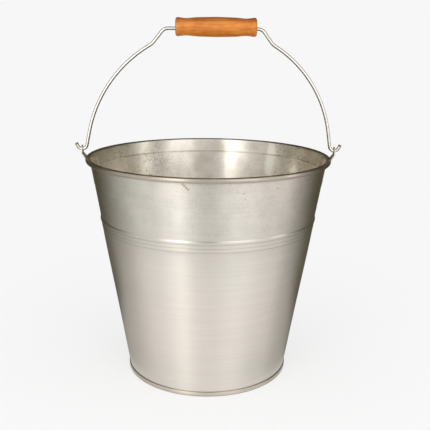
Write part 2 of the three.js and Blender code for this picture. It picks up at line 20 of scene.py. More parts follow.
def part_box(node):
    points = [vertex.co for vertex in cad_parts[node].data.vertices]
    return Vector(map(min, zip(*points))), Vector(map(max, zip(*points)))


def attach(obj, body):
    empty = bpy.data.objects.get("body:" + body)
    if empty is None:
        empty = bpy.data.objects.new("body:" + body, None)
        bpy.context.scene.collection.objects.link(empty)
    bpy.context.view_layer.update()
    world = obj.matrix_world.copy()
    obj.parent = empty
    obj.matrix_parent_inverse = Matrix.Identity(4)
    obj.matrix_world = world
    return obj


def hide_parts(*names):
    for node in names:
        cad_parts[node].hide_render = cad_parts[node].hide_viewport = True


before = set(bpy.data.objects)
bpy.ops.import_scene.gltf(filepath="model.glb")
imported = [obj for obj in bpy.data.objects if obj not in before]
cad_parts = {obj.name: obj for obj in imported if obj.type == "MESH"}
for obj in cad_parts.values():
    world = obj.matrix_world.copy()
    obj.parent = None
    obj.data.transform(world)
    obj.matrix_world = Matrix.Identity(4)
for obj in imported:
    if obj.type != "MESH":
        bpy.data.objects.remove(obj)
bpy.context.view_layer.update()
scene = bpy.context.scene
MM = 0.001

print("plain pieces:", sorted(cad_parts))

# %% [markdown]
# ## The camera
#
# A camera matches a photograph when three things do: where it stands, where it looks, and how wide it sees.
# They could be found by eye, but a bucket gives them away: its rim and foot are circles, so their ellipses
# in the picture fix the height and the tilt. The distance and the tilt below were fitted to those ellipses.
# The camera stands 0.86 m in front of the bucket and looks down on it by about 14 degrees.

# %% Camera
photo_pixels = 430
focal_pixels = 699.42
sensor_width = 36
camera_place = Vector((0.0, -0.8553, 0.4156))
camera_tilt_down = math.radians(14.3125)
camera_turn = math.radians(0.5933)
camera_roll = math.radians(0.5781)


def new_object(name, data):
    """Puts a mesh, a lens or a lamp into the scene."""
    made = bpy.data.objects.new(name, data)
    scene.collection.objects.link(made)
    return made


def new_mesh(name, points, edges=(), faces=()):
    mesh = bpy.data.meshes.new(name)
    mesh.from_pydata(points, edges, faces)
    return mesh


def add_camera():
    sine, cosine = math.sin(camera_turn), math.cos(camera_turn)
    reach = math.cos(camera_tilt_down)
    forward = Vector((sine * reach, cosine * reach, -math.sin(camera_tilt_down)))
    level = Vector((cosine, -sine, 0))
    above = level.cross(forward)
    right = level * math.cos(camera_roll) + above * math.sin(camera_roll)
    up = above * math.cos(camera_roll) - level * math.sin(camera_roll)
    lens = bpy.data.cameras.new("photo_camera")
    lens.sensor_width = sensor_width
    lens.lens = sensor_width * focal_pixels / photo_pixels
    camera = new_object("photo_camera", lens)
    facing = Matrix((right, up, -forward)).transposed().to_4x4()
    camera.matrix_world = Matrix.Translation(camera_place) @ facing
    scene.camera = camera


add_camera()
scene.view_settings.view_transform = "Standard"
print("lens, mm:", round(scene.camera.data.lens, 2))

# %% [markdown]
# ## Helpers for node trees
#
# Shapes and finishes are both built from node trees. One helper adds a node, sets it and wires it. What comes
# out of a node is wrapped as a value that can be added and multiplied in plain Python, each sum becoming a
# Math node, so that each tree below reads as a list of what it does.

# %% Node helpers


class Value:
    """What comes out of a node. Sums of such values are written like sums of numbers."""

    def __init__(self, socket):
        self.socket = socket
        self.tree = socket.id_data

    def step(self, operation, other=0.0, swapped=False):
        """One sum of a Math node."""
        first, second = (other, self) if swapped else (self, other)
        return add_node(self.tree, "ShaderNodeMath", {0: first, 1: second}, operation=operation)[0]

    def __add__(self, other):
        return self.step("ADD", other)

    def __radd__(self, other):
        return self.step("ADD", other, swapped=True)

    def __sub__(self, other):
        return self.step("SUBTRACT", other)

    def __rsub__(self, other):
        return self.step("SUBTRACT", other, swapped=True)

    def __mul__(self, other):
        return self.step("MULTIPLY", other)

    def __truediv__(self, other):
        return self.step("DIVIDE", other)

    def __abs__(self):
        return self.step("ABSOLUTE")


class Node:
    """A new node. Its outputs are found by name or by number."""

    def __init__(self, made):
        self.made = made

    def __getitem__(self, key):
        return Value(self.made.outputs[key])

    def feed(self, inputs):
        """An input is given as a plain setting or as the value that feeds it."""
        for key, value in inputs.items():
            if isinstance(value, Value):
                value.tree.links.new(value.socket, self.made.inputs[key])
            else:
                self.made.inputs[key].default_value = value


def add_node(tree, kind, inputs=None, **settings):
    node = Node(tree.nodes.new(kind))
    for name, value in settings.items():
        setattr(node.made, name, value)
    node.feed(inputs or {})
    return node


def largest(first, *others):
    for other in others:
        first = first.step("MAXIMUM", other)
    return first


def ramp(value, low, high, at_low=0.0, at_high=1.0):
    """A smooth step from one value to another."""
    limits = {"Value": value, "From Min": low, "From Max": high, "To Min": at_low, "To Max": at_high}
    return add_node(value.tree, "ShaderNodeMapRange", limits, interpolation_type="SMOOTHSTEP")["Result"]


def band(distance, start, full, *strengths):
    """A smooth step between two heights or distances in millimetres."""
    return ramp(distance, start * MM, full * MM, *strengths)


def vector_step(operation, first, *others, output="Vector"):
    """One step of a Vector Math node."""
    vectors = dict(enumerate((first, *others)))
    return add_node(first.tree, "ShaderNodeVectorMath", vectors, operation=operation)[output]


def split(vector):
    return add_node(vector.tree, "ShaderNodeSeparateXYZ", {0: vector})


def join(x, y, z=0.0):
    return add_node(x.tree, "ShaderNodeCombineXYZ", {0: x, 1: y, 2: z})[0]


# %% Starting and ending trees


def read_surface(tree):
    """Where a point of a piece lies, in metres, and which way its surface faces there."""
    coordinates = add_node(tree, "ShaderNodeTexCoord")
    return coordinates["Object"], coordinates["Normal"]


def new_material(name):
    material = bpy.data.materials.new(name)
    material.use_nodes = True
    material.node_tree.nodes.clear()
    return material, material.node_tree


def end_material(surface):
    add_node(surface.tree, "ShaderNodeOutputMaterial", {"Surface": surface})


def new_tree(name, kind, inputs, outputs):
    """A tree with named inputs and outputs, {name: (socket kind, default value)}, and its input node."""
    tree = bpy.data.node_groups.new(name, kind)
    for in_out, sockets in (("INPUT", inputs), ("OUTPUT", outputs)):
        for title, (socket_kind, default) in sockets.items():
            socket = tree.interface.new_socket(title, in_out=in_out, socket_type="NodeSocket" + socket_kind)
            if default is not None:
                socket.default_value = default
    return tree, add_node(tree, "NodeGroupInput")


def end_shape_tree(shape, finish):
    """Ends a tree of Geometry Nodes: every copy made real, and the finish set on all of it."""
    real = add_node(shape.tree, "GeometryNodeRealizeInstances", {0: shape})[0]
    finished = add_node(shape.tree, "GeometryNodeSetMaterial", {"Geometry": real, "Material": finish})[0]
    add_node(shape.tree, "NodeGroupOutput", {0: finished})


# %% [markdown]
# ## The stage: a pale floor and soft studio light
#
# Bright metal shows what stands round it. A photographer puts a bucket on a pale sweep and lights it with
# soft boxes: a bright key and a dimmer one beside it at the left, a large fill at the right, and two small
# ones far round, for the right edge and for the inside. Metal that reflects only white loses its outline, so
# graduated dark cards stand beside and behind it, and low aprons lie round its foot. The studio behind and
# above is dark too, which draws the dark line on the crest of the rim and down both edges of the wire. A
# small black flag close in front, slanted and lower than the rim, leaves one dark fleck in the middle of the
# bead. The sweep is one large disc, as pale as the world behind it. It takes its shadow only near the bucket,
# so that no edge shows where the floor ends.

# %% World and floor
backdrop_brightness = 0.93
floor_radius = 6.0
floor_sides = 96
floor_shadow_share = 0.3
shadow_fades_from = 0.25
shadow_fades_to = 0.75


def sees_backdrop(tree):
    """1 for the rays that should see the plain pale backdrop: camera, mirror and glass rays."""
    path = add_node(tree, "ShaderNodeLightPath")
    return largest(path["Is Camera Ray"], path["Is Glossy Ray"], path["Is Transmission Ray"])


def build_world():
    world = bpy.data.worlds.new("studio")
    world.use_nodes = True
    tree = world.node_tree
    tree.nodes.clear()
    light = add_node(tree, "ShaderNodeBackground", {"Color": (1, 1, 1, 1), "Strength": backdrop_brightness})
    add_node(tree, "ShaderNodeOutputWorld", {"Surface": light[0]})
    scene.world = world


def build_floor():
    material, tree = new_material("pale_sweep")
    pale = (backdrop_brightness,) * 3 + (1,)
    away = vector_step("LENGTH", read_surface(tree)[0], output="Value")
    plain_share = ramp(away, shadow_fades_from, shadow_fades_to, 1 - floor_shadow_share, 1)
    lit = add_node(tree, "ShaderNodeBsdfDiffuse", {"Color": pale})[0]
    plain = add_node(tree, "ShaderNodeEmission", {"Color": pale, "Strength": 1.0})[0]
    share = sees_backdrop(tree) * plain_share
    end_material(add_node(tree, "ShaderNodeMixShader", {0: share, 1: lit, 2: plain})[0])
    mesh = bpy.data.meshes.new("floor")
    shape = bmesh.new()
    bmesh.ops.create_circle(shape, cap_ends=True, segments=floor_sides, radius=floor_radius)
    shape.to_mesh(mesh)
    shape.free()
    mesh.materials.append(material)
    new_object("floor", mesh)


build_world()
build_floor()
print("floor, m across:", 2 * floor_radius, "as pale as", backdrop_brightness)

# %% Soft boxes
light_aim = Vector((0, 0, 0.16))
# Azimuth in degrees from the camera's side towards +X, then in metres how far away, how high, how wide and
# how tall the box is, and its brightness.
soft_boxes = {
    "key_soft_box": (-26, 1.3, 0.54, 0.28, 1.08, 3.0),
    "side_soft_box": (-39, 1.3, 0.7, 0.26, 1.4, 1.4),
    "fill_soft_box": (32, 1.6, 0.75, 0.9, 1.5, 1.0),
    "low_soft_box": (76, 1.3, 0.5, 0.22, 0.8, 1.8),
    "inner_soft_box": (-74.5, 1.27, 0.4, 0.1, 0.16, 1.8),
}


def add_soft_box(name, azimuth, away, height, width, tall, brightness):
    turn = math.radians(azimuth)
    lamp = bpy.data.lights.new(name, "AREA")
    lamp.shape = "RECTANGLE"
    lamp.size = width
    lamp.size_y = tall
    lamp.energy = brightness * math.pi * width * tall
    box = new_object(name, lamp)
    box.location = Vector((math.sin(turn) * away, -math.cos(turn) * away, height))
    box.rotation_euler = (light_aim - box.location).to_track_quat("-Z", "Y").to_euler()
    box.visible_camera = False


for name, sizes in soft_boxes.items():
    add_soft_box(name, *sizes)
print("soft boxes:", len(soft_boxes))

# %% Dark cards
card_colour = (0.085, 0.076, 0.040, 1)
card_steps = 32
# Rows of (radius, height) points, in metres.
near_card = [(0.26, 0.0), (0.26, 0.28)]
near_low_card = [(0.26, 0.0), (0.26, 0.23)]
wide_card = [(0.7, 0.0), (0.7, 0.36)]
inner_apron = [(0.112, 0.001), (0.165, 0.001)]
outer_apron = [(0.165, 0.001), (0.255, 0.001)]
# The profile, the side, the azimuths from the camera's side where the card is clear, half dense and dense and
# where it ends, and how dark it gets.
dark_cards = {
    "card_left": (near_card, -1, 48, 86, 115, 142, 0.9),
    "card_right": (near_low_card, 1, 44, 82, 112, 142, 0.94),
    "wide_card_left": (wide_card, -1, 55, 85, 110, 145, 0.8),
    "wide_card_right": (wide_card, 1, 55, 85, 110, 145, 0.8),
    "inner_apron_left": (inner_apron, -1, 14, 92, 125, 140, 0.85),
    "inner_apron_right": (inner_apron, 1, 5, 80, 118, 140, 0.9),
    "outer_apron_left": (outer_apron, -1, 40, 108, 135, 140, 0.85),
    "outer_apron_right": (outer_apron, 1, 28, 98, 130, 140, 0.9),
}


def darken(density):
    """Ends a card's material: see-through where its density is 0, dark where it is 1."""
    dark = add_node(density.tree, "ShaderNodeEmission", {"Color": card_colour})[0]
    clear = add_node(density.tree, "ShaderNodeBsdfTransparent")[0]
    end_material(add_node(density.tree, "ShaderNodeMixShader", {0: density, 1: clear, 2: dark})[0])


def set_out_card(name, mesh, material):
    """A card that only the metal's reflections see."""
    mesh.materials.append(material)
    card = new_object(name, mesh)
    card.visible_camera = card.visible_diffuse = card.visible_shadow = False


def add_dark_card(name, profile, side, clear, half, dense, end, strength):
    """A curved card beside the bucket that grows denser towards the back."""
    material, tree = new_material(name)
    parts = split(read_surface(tree)[0])
    azimuth = (parts["X"] * float(side)).step("ARCTAN2", parts["Y"] * -1.0)
    thin = ramp(azimuth, math.radians(clear), math.radians(half), 0, strength / 2)
    thick = ramp(azimuth, math.radians(half), math.radians(dense), 0, strength / 2)
    darken(thin + thick)
    points = []
    for step in range(card_steps + 1):
        turn = math.radians(clear + (end - clear) * step / card_steps)
        points += [(side * math.sin(turn) * radius, -math.cos(turn) * radius, z) for radius, z in profile]
    faces = [(2 * step, 2 * step + 2, 2 * step + 3, 2 * step + 1) for step in range(card_steps)]
    set_out_card(name, new_mesh(name, points, faces=faces), material)


for name, sizes in dark_cards.items():
    add_dark_card(name, *sizes)
print("dark cards:", len(dark_cards))

# %% Dark flag and dark studio
flag_half_width = 0.030
flag_near_edge = (-0.19, 0.262)
flag_far_edge = (-0.26, 0.225)
flag_strength = 0.97
hood_radius = 1.0
hood_segments = 64
hood_rings = 32
hood_middle = Vector((0, 0, 0.2))
hood_axis = Vector((0, math.cos(math.radians(20)), math.sin(math.radians(20))))
hood_clear_from = math.cos(math.radians(96))
hood_dense_from = math.cos(math.radians(64))
hood_strength = 0.95


def add_dark_flag():
    """A small black flag between the lights, close in front, slanted so that only the bead mirrors it."""
    material, tree = new_material("dark_flag")
    off_middle = abs(split(read_surface(tree)[0])["X"])
    darken(ramp(off_middle, flag_half_width, flag_half_width / 2) * flag_strength)
    near = [(side * flag_half_width, *flag_near_edge) for side in (-1, 1)]
    far = [(side * flag_half_width, *flag_far_edge) for side in (1, -1)]
    set_out_card("dark_flag", new_mesh("dark_flag", near + far, faces=[(0, 1, 2, 3)]), material)


def add_dark_hood():
    """The dark studio behind and above, as a dome that is open to the front."""
    material, tree = new_material("dark_studio")
    along = vector_step("NORMALIZE", vector_step("SUBTRACT", read_surface(tree)[0], hood_middle))
    toward = vector_step("DOT_PRODUCT", along, hood_axis, output="Value")
    darken(ramp(toward, hood_clear_from, hood_dense_from, 0, hood_strength))
    mesh = bpy.data.meshes.new("dark_studio")
    shape = bmesh.new()
    bmesh.ops.create_uvsphere(shape, u_segments=hood_segments, v_segments=hood_rings, radius=hood_radius)
    bmesh.ops.translate(shape, verts=shape.verts, vec=hood_middle)
    below = [corner for corner in shape.verts if corner.co.z < 0]
    bmesh.ops.delete(shape, geom=below, context="VERTS")
    shape.to_mesh(mesh)
    shape.free()
    set_out_card("dark_studio", mesh, material)


add_dark_flag()
add_dark_hood()
print("flag, mm across:", round(2 * flag_half_width / MM), "hood, m across:", 2 * hood_radius)

# %% [markdown]
# ## Sizes of the body
#
# The plain pieces give the large sizes. What a press or a folding tool leaves in the sheet is given here in
# millimetres: the two small ribs and the larger bead that stiffen the wall, the crease under the rim, and
# the curl.

# %% Body sizes
rim_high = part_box("body_back_sheet")[1]
rim_radius = rim_high.y / MM
body_height = rim_high.z / MM
foot_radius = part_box("bottom_pan")[1].x / MM

sheet_thickness = 0.7
hoop_wire_radius = 1.8
hoop_slack = 0.5
roll_sweep = 290
wall_foot_height = 6.56
band_height = 5.3
band_stands_proud = 0.3
fold_gap = 0.4
pan_recess = 7.0
neck_flare_below = 0.36
neck_flare_above = 1.44
wall_sway = 0.5
upper_inset = 0.6
bead_drop = 72.2
bead_width = 5.0
bead_proud = 0.5
rib_count = 2
rib_width = 4.5
rib_proud = 0.14
crease_drop = 17.5
crease_depth = 0.08
crease_width = 2.2

roll_radius = hoop_wire_radius + hoop_slack + sheet_thickness
roll_inner = roll_radius - sheet_thickness
roll_centre = (rim_radius - roll_radius, body_height - roll_radius)
wall_foot_radius = foot_radius - band_stands_proud
band_inner = foot_radius - sheet_thickness
neck_radius = band_inner - fold_gap
bead_top = body_height - bead_drop
rib_foot = bead_top - bead_width - rib_count * rib_width
wall_bottom = sheet_thickness + fold_gap
neck_top = band_height - neck_flare_below
flare_top = band_height + neck_flare_above

line_to_roll = Vector(roll_centre) - Vector((wall_foot_radius - upper_inset, wall_foot_height))
wall_angle = math.atan2(line_to_roll.x, line_to_roll.y) - math.asin(roll_inner / line_to_roll.length)
wall_taper = math.tan(wall_angle)
sheet_run = sheet_thickness / math.cos(wall_angle)


def wall_line(z):
    """Radius of the straight line that the wall follows, at a height."""
    return wall_foot_radius + (z - wall_foot_height) * wall_taper


print("rim diameter", round(2 * rim_radius, 1), "foot diameter", round(2 * foot_radius, 1), "mm")
print("the wall leans out by", round(math.degrees(wall_angle), 2), "degrees")

# %% [markdown]
# ## The section of the wall
#
# Cut the bucket in half and the wall is a line of sheet 0.7 mm thick: straight up from a short neck in the
# foot fold, over two small ribs and a bead, past a shallow crease, and round the hoop wire in a curl. The
# section could be drawn by hand, but each stretch follows a rule, so each is written as a formula:
# flat-topped swells for the ribs, which leave narrow grooves between them as a grooving roller does, and an
# arc for the curl.

# %% Foot and lower wall
neck_middle = 3.6
flare_shares = (0.35, 0.7, 1.0)
wall_sway_shares = [(0, -1), (0.205, -1), (0.44, -0.7), (0.68, -0.16), (0.92, 0.4), (1, 0)]
wall_sway_degree = 4
wall_steps = 24


def wall_level(radius, z):
    """A point on each face of the sheet, at the same height: (outer, inner)."""
    return (radius, z), (radius - sheet_run, z)


def foot_levels():
    neck = (wall_bottom, neck_middle, neck_top)
    made = [((neck_radius, z), (neck_radius - sheet_thickness, z)) for z in neck]
    for share in flare_shares:
        z = neck_top + (flare_top - neck_top) * share
        eased = share * share * (3 - 2 * share)
        made.append(wall_level(neck_radius + (wall_line(flare_top) - wall_sway - neck_radius) * eased, z))
    return made


def plain_wall_levels():
    smooth = np.polynomial.Polynomial.fit(*zip(*wall_sway_shares), wall_sway_degree)
    made = []
    for step in range(1, wall_steps):
        share = step / wall_steps
        z = flare_top + (rib_foot - flare_top) * share
        made.append(wall_level(wall_line(z) + wall_sway * float(smooth(share)), z))
    return made


# %% Ribs, bead, crease and curl
rib_steps = 14
rib_flatness = 7
bead_steps = 18
bead_flatness = 2.4
upper_steps = 8
crease_steps = 10
roll_steps = 40


def swell(share, flatness):
    """Height of a swell from 0 at its edges to 1. A higher flatness gives a flatter top, steeper flanks."""
    return 1 - abs(2 * share - 1) ** flatness


def crowded_shares(steps):
    """Shares from 0 to 1 without the 0, closer together near both ends."""
    return [(1 - math.cos(math.pi * step / steps)) / 2 for step in range(1, steps + 1)]


def bead_levels():
    made = [wall_level(wall_line(rib_foot), rib_foot)]
    for rib in range(rib_count):
        for share in crowded_shares(rib_steps):
            z = rib_foot + rib * rib_width + rib_width * share
            made.append(wall_level(wall_line(z) + rib_proud * swell(share, rib_flatness), z))
    for share in crowded_shares(bead_steps):
        z = bead_top - bead_width + bead_width * share
        base = wall_line(z) - upper_inset * share
        made.append(wall_level(base + (bead_proud + upper_inset / 2) * swell(share, bead_flatness), z))
    return made


def upper_levels():
    crease = body_height - crease_drop
    heights = list(np.linspace(bead_top, crease - crease_width * 1.5, upper_steps)[1:])
    heights += list(np.linspace(crease - crease_width, crease + crease_width, crease_steps + 1))
    made = []
    for z in heights:
        dip = math.exp(-((2 * (z - crease) / crease_width) ** 2))
        made.append(wall_level(wall_line(z) - upper_inset - crease_depth * dip, z))
    return made


def on_circle(radius, turn, centre=(0, 0)):
    return centre[0] + radius * math.cos(turn), centre[1] + radius * math.sin(turn)


def curl_levels():
    made = []
    for step in range(roll_steps + 1):
        turn = math.pi - wall_angle - math.radians(roll_sweep) * step / roll_steps
        made.append((on_circle(roll_inner, turn, roll_centre), on_circle(roll_radius, turn, roll_centre)))
    return made


# %% The whole section
seam_foot_rise = 1.94
seam_top_drop = 4.6
seam_notch = 0.5
seam_foot = band_height + seam_foot_rise
seam_top = body_height - seam_top_drop
levels_below_seam = foot_levels()
levels_along_seam = [
    wall_level(wall_line(seam_foot) - wall_sway, seam_foot),
    *plain_wall_levels(),
    *bead_levels(),
    *upper_levels(),
    wall_level(wall_line(seam_top) - upper_inset, seam_top),
]
notch_level = wall_level(wall_line(seam_top + seam_notch) - upper_inset, seam_top + seam_notch)
levels = [*levels_below_seam, *levels_along_seam, notch_level, *curl_levels()]
seam_foot_level = len(levels_below_seam)
seam_top_level = seam_foot_level + len(levels_along_seam) - 1
top_level = len(levels) - 1

wall_outline = [outer for outer, inner in levels] + [inner for outer, inner in reversed(levels)]
wall_outline.append(wall_outline[0])
print("points on each face of the wall's section:", len(levels))

# %% [markdown]
# ## A tree that turns an outline round an axis
#
# Most of a bucket is turned or spun: the walls, the bottom, the hoop in the rim, the rivets and the grip.
# A Spin operator could make each of them once. A Geometry Nodes tree is made once for all of them: it takes
# an outline as a row of points, lays out a grid with a column for each step of the turn, and sends each
# point of the grid to its place. It also writes a UV map whose U runs round the axis, which the brushed
# finish needs later to know which way the lines run.

# %% Turning tree
merge_distance = 1e-7


def build_turning_tree():
    sizes = {
        "Outline": ("Geometry", None),
        "Start angle": ("Float", 0.0),
        "Sweep": ("Float", math.tau),
        "Steps": ("Int", 64),
        "Finish": ("Material", None),
    }
    tree, given = new_tree("turned_outline", "GeometryNodeTree", sizes, {"Shape": ("Geometry", None)})
    rows = add_node(tree, "GeometryNodeAttributeDomainSize", {0: given["Outline"]})["Point Count"]
    grid = add_node(tree, "GeometryNodeMeshGrid", {"Vertices X": given["Steps"] + 1, "Vertices Y": rows})
    index = add_node(tree, "GeometryNodeInputIndex")[0]
    column = (index / rows).step("FLOOR")
    row = index - column * rows
    position = add_node(tree, "GeometryNodeInputPosition")[0]
    wanted = {"Geometry": given["Outline"], "Value": position, "Index": row}
    point = split(add_node(tree, "GeometryNodeSampleIndex", wanted, data_type="FLOAT_VECTOR")[0])
    angle = given["Start angle"] + given["Sweep"] * (column / given["Steps"])
    across, deep = (point["X"] * angle.step(wave) for wave in ("COSINE", "SINE"))
    kept = add_node(tree, "GeometryNodeCaptureAttribute")
    kept.made.capture_items.new("VECTOR", "Spread")
    kept.feed({"Geometry": grid["Mesh"], "Spread": join(angle / math.tau, row / rows)})
    moved = {"Geometry": kept["Geometry"], "Position": join(across, deep, point["Z"])}
    placed = add_node(tree, "GeometryNodeSetPosition", moved)[0]
    stored = {"Geometry": placed, "Name": "UVMap", "Value": kept["Spread"]}
    mapped = add_node(tree, "GeometryNodeStoreNamedAttribute", stored, data_type="FLOAT2", domain="CORNER")
    merged = {"Geometry": mapped[0], "Distance": merge_distance}
    closed = add_node(tree, "GeometryNodeMergeByDistance", merged)[0]
    end_shape_tree(add_node(tree, "GeometryNodeSetShadeSmooth", {"Geometry": closed})[0], given["Finish"])
    return tree


turning_tree = build_turning_tree()
print("nodes in the turning tree:", len(turning_tree.nodes))

# %% Running a tree


def make_plain(piece):
    """Keeps what a piece's modifiers make as its plain mesh, and takes them off."""
    plain = bpy.data.meshes.new_from_object(piece.evaluated_get(bpy.context.evaluated_depsgraph_get()))
    piece.modifiers.clear()
    piece.data = plain
    plain.name = piece.name


def shape_from_tree(name, tree, mesh, values):
    """Runs a tree on a mesh and keeps the result as a plain mesh object, with no modifier left on it."""
    made = new_object(name, mesh)
    modifier = made.modifiers.new("shape", "NODES")
    modifier.node_group = tree
    for item in tree.interface.items_tree:
        if item.item_type == "SOCKET" and item.in_out == "INPUT" and item.name in values:
            modifier[item.identifier] = values[item.name]
    make_plain(made)
    made.data.materials.clear()
    made.data.materials.append(values["Finish"])
    made.data.polygons.foreach_set("material_index", [0] * len(made.data.polygons))
    return made


def turned(name, outline, finish, steps, start=0.0, sweep=360.0):
    """A piece turned from an outline of (radius, height) points in millimetres."""
    mesh = new_mesh(name + "_outline", [(radius * MM, 0, height * MM) for radius, height in outline])
    angles = {"Start angle": math.radians(start), "Sweep": math.radians(sweep)}
    return shape_from_tree(name, turning_tree, mesh, {**angles, "Steps": steps, "Finish": finish})


def sharpen(piece, degrees=40):
    """Keeps the edges crisp where a smooth piece bends by more than this."""
    piece.data.set_sharp_from_angle(angle=math.radians(degrees))


def settle(piece, body, slot, *nodes):
    """Lets a finished piece ride on its body and stand for its plain pieces."""
    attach(piece, body)
    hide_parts(*nodes)
    print(piece.name, "faces:", len(piece.data.polygons))


# %% [markdown]
# ## Shared effects: rolled lines, blotches and spots
#
# Sheet metal that has been through rollers and a brush shows fine lines round the bucket, soft blotches
# where it was handled, and specks where it started to tarnish. More than one finish needs lines or blotches,
# so each is a node group with named inputs, built once and placed with its own values. A single mark at a
# known place is a soft spot.

# %% Effect groups


def build_lines_group():
    """Long fine lines, level round the object: 0 to 1, around 0.5."""
    sizes = {
        "Place": ("Vector", None),
        "Lines per metre": ("Float", 1000.0),
        "Runs per metre": ("Float", 6.0),
    }
    tree, given = new_tree("rolled_lines", "ShaderNodeTree", sizes, {"Lines": ("Float", None)})
    parts = split(given["Place"])
    runs = given["Runs per metre"]
    stretched = join(parts["X"] * runs, parts["Y"] * runs, parts["Z"] * given["Lines per metre"])
    grain = {"Vector": stretched, "Scale": 1.0, "Detail": 3.0, "Roughness": 0.6}
    add_node(tree, "NodeGroupOutput", {"Lines": add_node(tree, "ShaderNodeTexNoise", grain)["Fac"]})
    return tree


def build_blotches_group():
    """Soft patches: 0 where the surface is clean, 1 in the middle of a patch."""
    sizes = {
        "Place": ("Vector", None),
        "Patches per metre": ("Float", 20.0),
        "Clean share": ("Float", 0.5),
        "Softness": ("Float", 0.15),
        "Seed": ("Float", 0.0),
    }
    tree, given = new_tree("blotches", "ShaderNodeTree", sizes, {"Patches": ("Float", None)})
    where = {"Vector": given["Place"], "W": given["Seed"], "Scale": given["Patches per metre"]}
    grain = {**where, "Detail": 4.0, "Roughness": 0.6}
    noise = add_node(tree, "ShaderNodeTexNoise", grain, noise_dimensions="4D")["Fac"]
    clean, soft = given["Clean share"], given["Softness"]
    add_node(tree, "NodeGroupOutput", {"Patches": ramp(noise, clean - soft, clean + soft)})
    return tree


lines_group = build_lines_group()
blotches_group = build_blotches_group()


def use_group(group, place, values):
    """Places an effect group. The values are for its inputs after the place, in their order."""
    return add_node(place.tree, "ShaderNodeGroup", dict(enumerate((place, *values))), node_tree=group)[0]


def lines(place, spacing):
    """The spacing is (lines per metre, runs per metre)."""
    return use_group(lines_group, place, spacing)


def blotches(place, pattern):
    """The pattern is (patches per metre, clean share, softness, seed)."""
    return use_group(blotches_group, place, pattern)


print("effect groups:", lines_group.name, blotches_group.name)

# %% Spots, colours and the end of a finish
# The colour sockets of a Mix node, which also has sockets for numbers and vectors.
MIX_FIRST, MIX_SECOND, MIX_RESULT = 6, 7, 2


def spot(place, centre, size):
    """1 in the middle of one small soft spot, 0 outside it. Centre and size are in millimetres."""
    away = vector_step("SUBTRACT", place, Vector(centre) * MM)
    scaled = vector_step("MULTIPLY", away, Vector([1 / (side * MM) for side in size]))
    return ramp(vector_step("LENGTH", scaled, output="Value"), 1.0, 0.2)


def blend_colours(share, first, second):
    """A mix of two colours. Each comes out of a node or is three numbers."""
    inputs = {0: share}
    for key, colour in ((MIX_FIRST, first), (MIX_SECOND, second)):
        inputs[key] = colour if isinstance(colour, Value) else (*colour, 1)
    return add_node(share.tree, "ShaderNodeMix", inputs, data_type="RGBA")[MIX_RESULT]


def scale_colour(colour, gain):
    return add_node(colour.tree, "ShaderNodeVectorMath", {0: colour, "Scale": gain}, operation="SCALE")[0]


def finish_surface(colour, rough, relief, depth, others):
    """Ends a finish. The relief is a height from 0 to 1, and its depth is (strength, metres)."""
    inputs = {"Height": relief, "Strength": depth[0], "Distance": depth[1]}
    bump = add_node(colour.tree, "ShaderNodeBump", inputs)[0]
    inputs = {"Base Color": colour, "Roughness": rough, "Normal": bump, **others}
    end_material(add_node(colour.tree, "ShaderNodeBsdfPrincipled", inputs)[0])


# %% [markdown]
# ## The sheet-metal finish
#
# Tinned sheet is a metal with a warm grey colour. Its lines all run round the bucket, so a light is drawn
# out up and down the wall and stays narrow across it: that is anisotropy, and its direction comes from the
# UV map. The inside is the same sheet, but browner and speckled. The material tells the two apart by the
# face's own direction: on the inside it points to the axis. The curl is tarnished brown, with painted shade
# low on it and on the wall just under it. A painted dark reflection lines the crest of the rim, painted
# shade darkens the grooves and the step beside each seam, a dark line follows the crease inside, and a few
# small spots mark the outside. The outside is painted paler low down, a painted reflection of the floor.
# One darker grey patch marks the inside, and two painted light streaks brighten it.

# %% Sheet colours and marks
outside_cool = (0.66, 0.645, 0.575)
outside_warm = (0.73, 0.67, 0.61)
inside_clean = (0.87, 0.82, 0.735)
inside_stain = (0.62, 0.56, 0.46)
speckle_colour = (0.42, 0.37, 0.29)
# A dark brown for tarnish and for the painted shade and painted dark reflection on the sheet; the wire's
# tails take it too.
dark_brown_tint = (0.25, 0.18, 0.10)
grey_patch_colour = (0.44, 0.42, 0.37)
# Single marks: (centre, size) in millimetres. The first four outside join up to one short scratch.
grey_patch = ((-144.0, 56.0, 262.0), (26.0, 44.0, 60.0))
outside_spots = [
    ((-27.0, -143.0, 266.2), (2.6, 6.0, 2.8)),
    ((-25.0, -143.0, 264.4), (2.6, 6.0, 2.6)),
    ((-23.0, -143.0, 262.5), (2.4, 6.0, 2.4)),
    ((-21.0, -143.0, 260.6), (2.2, 6.0, 2.2)),
    ((37.7, -138.0, 255.6), (2.2, 6.0, 1.0)),
    ((39.6, -137.0, 249.5), (1.3, 6.0, 1.0)),
    ((75.0, -123.0, 258.5), (3.0, 6.0, 0.9)),
]
# Two painted light streaks on the inside, also kept free of stains and specks: (centre, size) in millimetres.
painted_light_streaks = [
    ((86.0, 110.0, 245.0), (11.0, 11.0, 60.0)),
    ((118.0, 80.0, 236.0), (10.0, 15.0, 26.0)),
]
# Rolled lines: (lines per metre, runs per metre).
fine_lines = (1400.0, 5.0)
broad_lines = (260.0, 7.0)
# Patches: (patches per metre, clean share, softness, seed).
warm_patches = (9.0, 0.5, 0.2, 1.3)
stain_patches = (30.0, 0.54, 0.14, 4.1)
speck_dots = (520.0, 0.55, 0.08, 2.7)
speck_areas = (26.0, 0.5, 0.16, 7.7)
mottle_dots = (640.0, 0.5, 0.2, 5.9)
mottle_areas = (45.0, 0.46, 0.2, 8.4)
cloud_patches = (70.0, 0.5, 0.3, 3.1)
# Patches that break up the painted dark reflection along the crest.
painted_crest_patches = (55.0, 0.34, 0.25, 9.2)
crease_patches = (24.0, 0.5, 0.15, 3.3)
print("single marks on the sheet:", 1 + len(outside_spots) + len(painted_light_streaks))

# %% Tarnish and painted shade
under_roll = body_height - 2 * roll_radius
spot_strength = 0.7
crease_strength = 0.55
